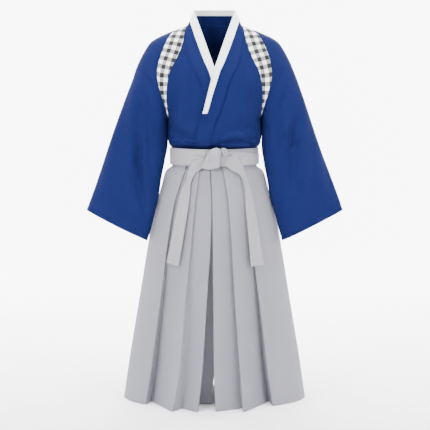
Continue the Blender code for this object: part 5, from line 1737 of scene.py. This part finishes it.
    def tails(self) -> None:
        """The hanging ends of the ties, folded lengthwise."""
        for side_name, rows in TAILS.items():
            table = np.array(rows)
            count = TAIL_STEPS
            across = np.linspace(0, 1, TAIL_COLUMNS)
            points = []
            for k in range(count + 1):
                along = k / count * (len(rows) - 1)
                first = min(int(along), len(rows) - 2)
                around = (min(max(first + step, 0), len(rows) - 1) for step in (-1, 0, 1, 2))
                before, start, end, after = (table[row] for row in around)
                t = along - first
                values = 0.5 * (
                    2 * start + (end - before) * t + (2 * before - 5 * start + 4 * end - after) * t**2
                    + (3 * start - before - 3 * end + after) * t**3
                )
                x = values[0] + (values[2] - values[0]) * across
                z = values[1] + (values[3] - values[1]) * across
                points.append(np.stack([x, -self._in_front(x, z, side_name) - BELT_WALL, z], axis=1))
            points = np.array(points)
            normals = grid_normals(points)
            if np.sum(normals[..., 1]) > 0:
                normals = -normals
            folds = sum(np.exp(-(((across - place) / TAIL_FOLD_WIDTH) ** 2)) for place in TAIL_FOLDS)
            swell = TAIL_SWELL * np.sin(math.pi * across) ** 0.5 - TAIL_FOLD_DEPTH * folds
            waves = np.sin(np.linspace(0, 9, count + 1))[:, None]
            ripple = TAIL_RIPPLE * waves * np.sin(math.pi * across)[None, :]
            outer = points + normals * (swell[None, :, None] + np.abs(ripple)[..., None])
            patch = Patch(outer, normals)
            lines = [Jacket._row_inset(patch, column, EDGE_STITCH) for column in (0, -1)]
            lines.append(self._row_inset_rows(patch, -1))
            sewn = self.stitches.along(f"tail_{side_name}_stitches", lines, GREY_TIE)
            inner = points - normals * BELT_WALL * 0.9
            made = Piece.between(f"tail_{side_name}", outer, inner, patch, GREY_TIE)
            Piece.finish(made, patch, "grey_tie", [f"tail_{side_name}"], stitched=[sewn])

    @staticmethod
    def _lump(centre: tuple, half: tuple, slant: float, creases: Sequence[Crease]) -> Patch:
        """A rounded lump of folded cloth, as rings from bottom to top."""
        rings = []
        for height in np.sin(np.linspace(-1.5, 1.5, LUMP_RINGS)):
            angles = np.linspace(0, 2 * math.pi, LUMP_SEGMENTS, endpoint=False)
            reach = math.sqrt(1 - height**2)
            ball = (reach * np.cos(angles), reach * np.sin(angles), np.full(LUMP_SEGMENTS, height))
            form = [np.copysign(np.abs(part) ** LUMP_ROUNDING, part) for part in ball]
            z = centre[2] + half[2] * form[2]
            x = centre[0] + half[0] * form[0] + slant * (z - centre[2])
            rings.append(np.stack([x, centre[1] + half[1] * form[1], z], axis=1))
        grid = np.array(rings)
        normals = unit(grid - np.array(centre))
        front = np.clip(-normals[..., 1] * 2, 0, 1)
        return Patch(grid, normals, closed=True).creased(creases, front)

    @staticmethod
    def _closed_lump(name: str, patch: Patch) -> bpy.types.Object:
        """A lump's closed mesh, with a point at each end."""
        rows, columns = patch.points.shape[:2]
        points = patch.points.reshape(-1, 3)
        ends = [patch.points[0].mean(axis=0), patch.points[-1].mean(axis=0)]
        cells = [(r, c) for r in range(rows - 1) for c in range(columns)]
        spots = [[(r, c), (r, c + 1), (r + 1, c + 1), (r + 1, c)] for r, c in cells]
        faces = [[row * columns + column % columns for row, column in spot] for spot in spots]
        bottom, top = len(points), len(points) + 1
        for c in range(columns):
            faces.append([bottom, (c + 1) % columns, c])
            spots.append([(0, c), (0, c + 1), (0, c)])
            first = (rows - 1) * columns
            faces.append([top, first + c, first + (c + 1) % columns])
            spots.append([(rows - 1, c), (rows - 1, c), (rows - 1, c + 1)])
        made = Piece.mesh_object(name, np.concatenate([points, ends]), faces, GREY_TIE)
        layer = made.data.uv_layers.new(name="flat_cloth")
        flat = patch.flat_places()
        order = np.concatenate([np.array(spot) for spot in spots])
        layer.data.foreach_set("uv", flat[order[:, 0], order[:, 1]].ravel())
        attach(made, BODY_NAME)
        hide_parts(name)
        return made

    def knot(self) -> None:
        """The knot: a folded core, the wrap drawn over it, and the small loop beside it."""
        core_creases = (
            Crease(((-0.040, -0.020), (-0.020, -0.030), (0.010, -0.030)), 0.0034, 0.0032),
            Crease(((-0.036, -0.008), (-0.028, -0.024), (-0.020, -0.034)), 0.0032, 0.0028),
            Crease(((0.006, -0.036), (0.014, -0.022), (0.018, -0.006)), 0.0034, 0.0028),
        )
        self._closed_lump("knot_core", self._lump(KNOT_CENTRE, KNOT_HALF_SIZE, KNOT_SLANT, core_creases))
        loop_creases = (
            Crease(((0.024, 0.030), (0.033, 0.022), (0.038, 0.008)), 0.0042, 0.0022),
            Crease(((0.036, 0.032), (0.044, 0.022), (0.046, 0.010)), 0.0032, 0.0020),
        )
        loop = self._lump(KNOT_LOOP_CENTRE, KNOT_LOOP_HALF_SIZE, KNOT_LOOP_SLANT, loop_creases)
        self._closed_lump("knot_loop", loop)
        self._wrap()

    def _wrap(self) -> None:
        """The cloth drawn over the knot's core, its edges turned under."""
        across = np.linspace(-1, 1, 33)
        angles = np.radians(np.linspace(-84, 84, 49))
        outer, inner = [], []
        for angle in angles:
            for rows, grow in ((outer, WRAP_OUTER_LIFT), (inner, WRAP_INNER_LIFT)):
                rounded = 1 - WRAP_ROUNDING * across**2
                z = KNOT_CENTRE[2] + (KNOT_HALF_SIZE[2] + grow) * math.sin(angle) * rounded
                round_off = 1 - WRAP_EDGE_DROP * np.abs(across) ** 4
                y = KNOT_CENTRE[1] - (KNOT_HALF_SIZE[1] + grow) * math.cos(angle) ** 0.75 * round_off
                half = WRAP_HALF_WIDTH - WRAP_TAPER * math.sin(angle)
                x = KNOT_CENTRE[0] + across * half + KNOT_SLANT * (z - KNOT_CENTRE[2])
                rows.append(np.stack([x, y, z], axis=1))
        outer, inner = np.array(outer), np.array(inner)
        creases = (
            Crease(((-0.020, 0.026), (-0.014, 0.004), (-0.016, -0.022)), 0.0020, 0.0024),
            Crease(((0.006, 0.028), (0.002, 0.006), (-0.004, -0.022)), 0.0022, 0.0028),
            Crease(((0.012, 0.020), (0.011, 0.000), (0.006, -0.018)), 0.0018, 0.0020),
        )
        patch = Patch(outer, unit(outer - inner)).creased(creases)
        made = Piece.between("knot_wrap", patch.points, inner, patch, GREY_TIE)
        Piece.finish(made, patch, "grey_tie", ["knot_wrap"], held="stretched", rests_on=["knot_core"])

    def build(self) -> None:
        """Makes every piece of the belt."""
        self.bands()
        self.ties()
        self.board()
        self.tails()
        self.knot()


GARMENT = (0.0, 0.0, -0.15)
WALL_SPOT = (0.0, 5.6, 0.3)
LAMPS = table(
    LampRow,
    ("key_left", (-2.5, -3.0, 2.1), GARMENT, 1.2, 125.0),
    ("key_right", (2.7, -2.8, 1.8), GARMENT, 1.2, 80.0),
    ("over", (0.0, -0.5, 3.2), GARMENT, 1.2, 230.0),
    ("wall_left", (-2.8, 1.8, 1.8), WALL_SPOT, 1.8, 560.0),
    ("wall_right", (2.8, 1.8, 1.8), WALL_SPOT, 1.8, 560.0),
    ("floor", (0.0, 2.2, 2.6), (0.0, 2.4, -0.9), 2.4, 250.0),
)


@dataclass
class Studio:
    """A round pale floor that turns up into a wall all round, soft light, and the camera."""

    eye: tuple[float, float, float] = (0.0018, -3.4, 0.125)
    aim: tuple[float, float, float] = (0.0018, 0.0, -0.209)
    focal_pixels: float = 949.0
    sensor: float = 36.0
    floor_z: float = HEM_Z - 0.002
    flat_reach: float = 3.6
    bend: float = 2.0
    wall_height: float = 6.0
    turns: int = 96
    floor_glow: float = 0.05
    surround: float = 0.05

    def camera(self) -> None:
        """The photograph's camera."""
        data = bpy.data.cameras.new("photo_camera")
        data.sensor_width = self.sensor
        data.lens = self.focal_pixels / PHOTO_SIDE * self.sensor
        camera = bpy.data.objects.new("photo_camera", data)
        camera.location = self.eye
        camera.rotation_mode = "QUATERNION"
        camera.rotation_quaternion = (Vector(self.aim) - Vector(self.eye)).to_track_quat("-Z", "Y")
        bpy.context.scene.collection.objects.link(camera)
        bpy.context.scene.camera = camera

    def floor(self) -> None:
        """The floor and wall, one smooth bowl."""
        flat, bend, turns = self.flat_reach, self.bend, self.turns
        rise = [(flat, 0.0)]
        angles = np.linspace(0.1, math.pi / 2, 16)
        rise += [(flat + bend * math.sin(a), bend * (1 - math.cos(a))) for a in angles]
        rise.append((flat + bend, self.wall_height))
        around = np.linspace(0, 2 * math.pi, turns, endpoint=False)
        points = [(0.0, 0.0, self.floor_z)]
        points += [(r * math.cos(a), r * math.sin(a), self.floor_z + z) for r, z in rise for a in around]
        faces = [(0, 1 + k, 1 + (k + 1) % turns) for k in range(turns)]
        for ring in range(len(rise) - 1):
            low, high = 1 + ring * turns, 1 + (ring + 1) * turns
            pairs = [(k, (k + 1) % turns) for k in range(turns)]
            faces += [(low + a, high + a, high + b, low + b) for a, b in pairs]
        mesh = bpy.data.meshes.new("studio_floor")
        mesh.from_pydata(points, [], faces)
        mesh.shade_smooth()
        material = bpy.data.materials.new("pale_paper")
        material.use_nodes = True
        shader = material.node_tree.nodes["Principled BSDF"]
        shader.inputs["Base Color"].default_value = (0.97, 0.97, 0.97, 1.0)
        shader.inputs["Emission Color"].default_value = (1.0, 1.0, 1.0, 1.0)
        shader.inputs["Emission Strength"].default_value = self.floor_glow
        shader.inputs["Roughness"].default_value = 0.9
        mesh.materials.append(material)
        sweep = bpy.data.objects.new("studio_floor", mesh)
        bpy.context.scene.collection.objects.link(sweep)
        sweep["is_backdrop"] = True

    @staticmethod
    def _lamp(name: str, place: tuple, aim: tuple, size: float, power: float) -> None:
        """A soft square lamp aimed at a point."""
        data = bpy.data.lights.new(name, "AREA")
        data.shape = "SQUARE"
        data.size = size
        data.energy = power
        lamp = bpy.data.objects.new(name, data)
        lamp.location = place
        lamp.rotation_mode = "QUATERNION"
        lamp.rotation_quaternion = (Vector(aim) - Vector(place)).to_track_quat("-Z", "Y")
        bpy.context.scene.collection.objects.link(lamp)

    def lights(self) -> None:
        """Soft light from the front and above, and a bright even surround."""
        for lamp in LAMPS:
            self._lamp(*lamp)
        world = bpy.data.worlds.new("surround")
        world.use_nodes = True
        background = world.node_tree.nodes["Background"]
        background.inputs["Color"].default_value = (1.0, 1.0, 1.0, 1.0)
        background.inputs["Strength"].default_value = self.surround
        bpy.context.scene.world = world

    def build(self) -> None:
        """Sets up the studio."""
        self.camera()
        self.floor()
        self.lights()


def corners(box: tuple[Vector, Vector]) -> list[list[float]]:
    """A box as plain lists of numbers."""
    return [[round(float(value), 5) for value in corner] for corner in box]


def main() -> None:
    """Builds the garment's pieces and the studio."""
    logging.basicConfig(level=logging.INFO, format="%(message)s")
    solid_box = corners(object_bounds())
    studio = Studio()
    studio.build()
    stitches = Stitches()
    jacket = Jacket(stitches)
    jacket.build()
    Hakama(stitches).build()
    Belt(stitches, jacket.form).build()
    shown_box = corners(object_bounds())
    LOG.info("solids %s, shown %s", solid_box, shown_box)


if __name__ == "__main__":
    main()
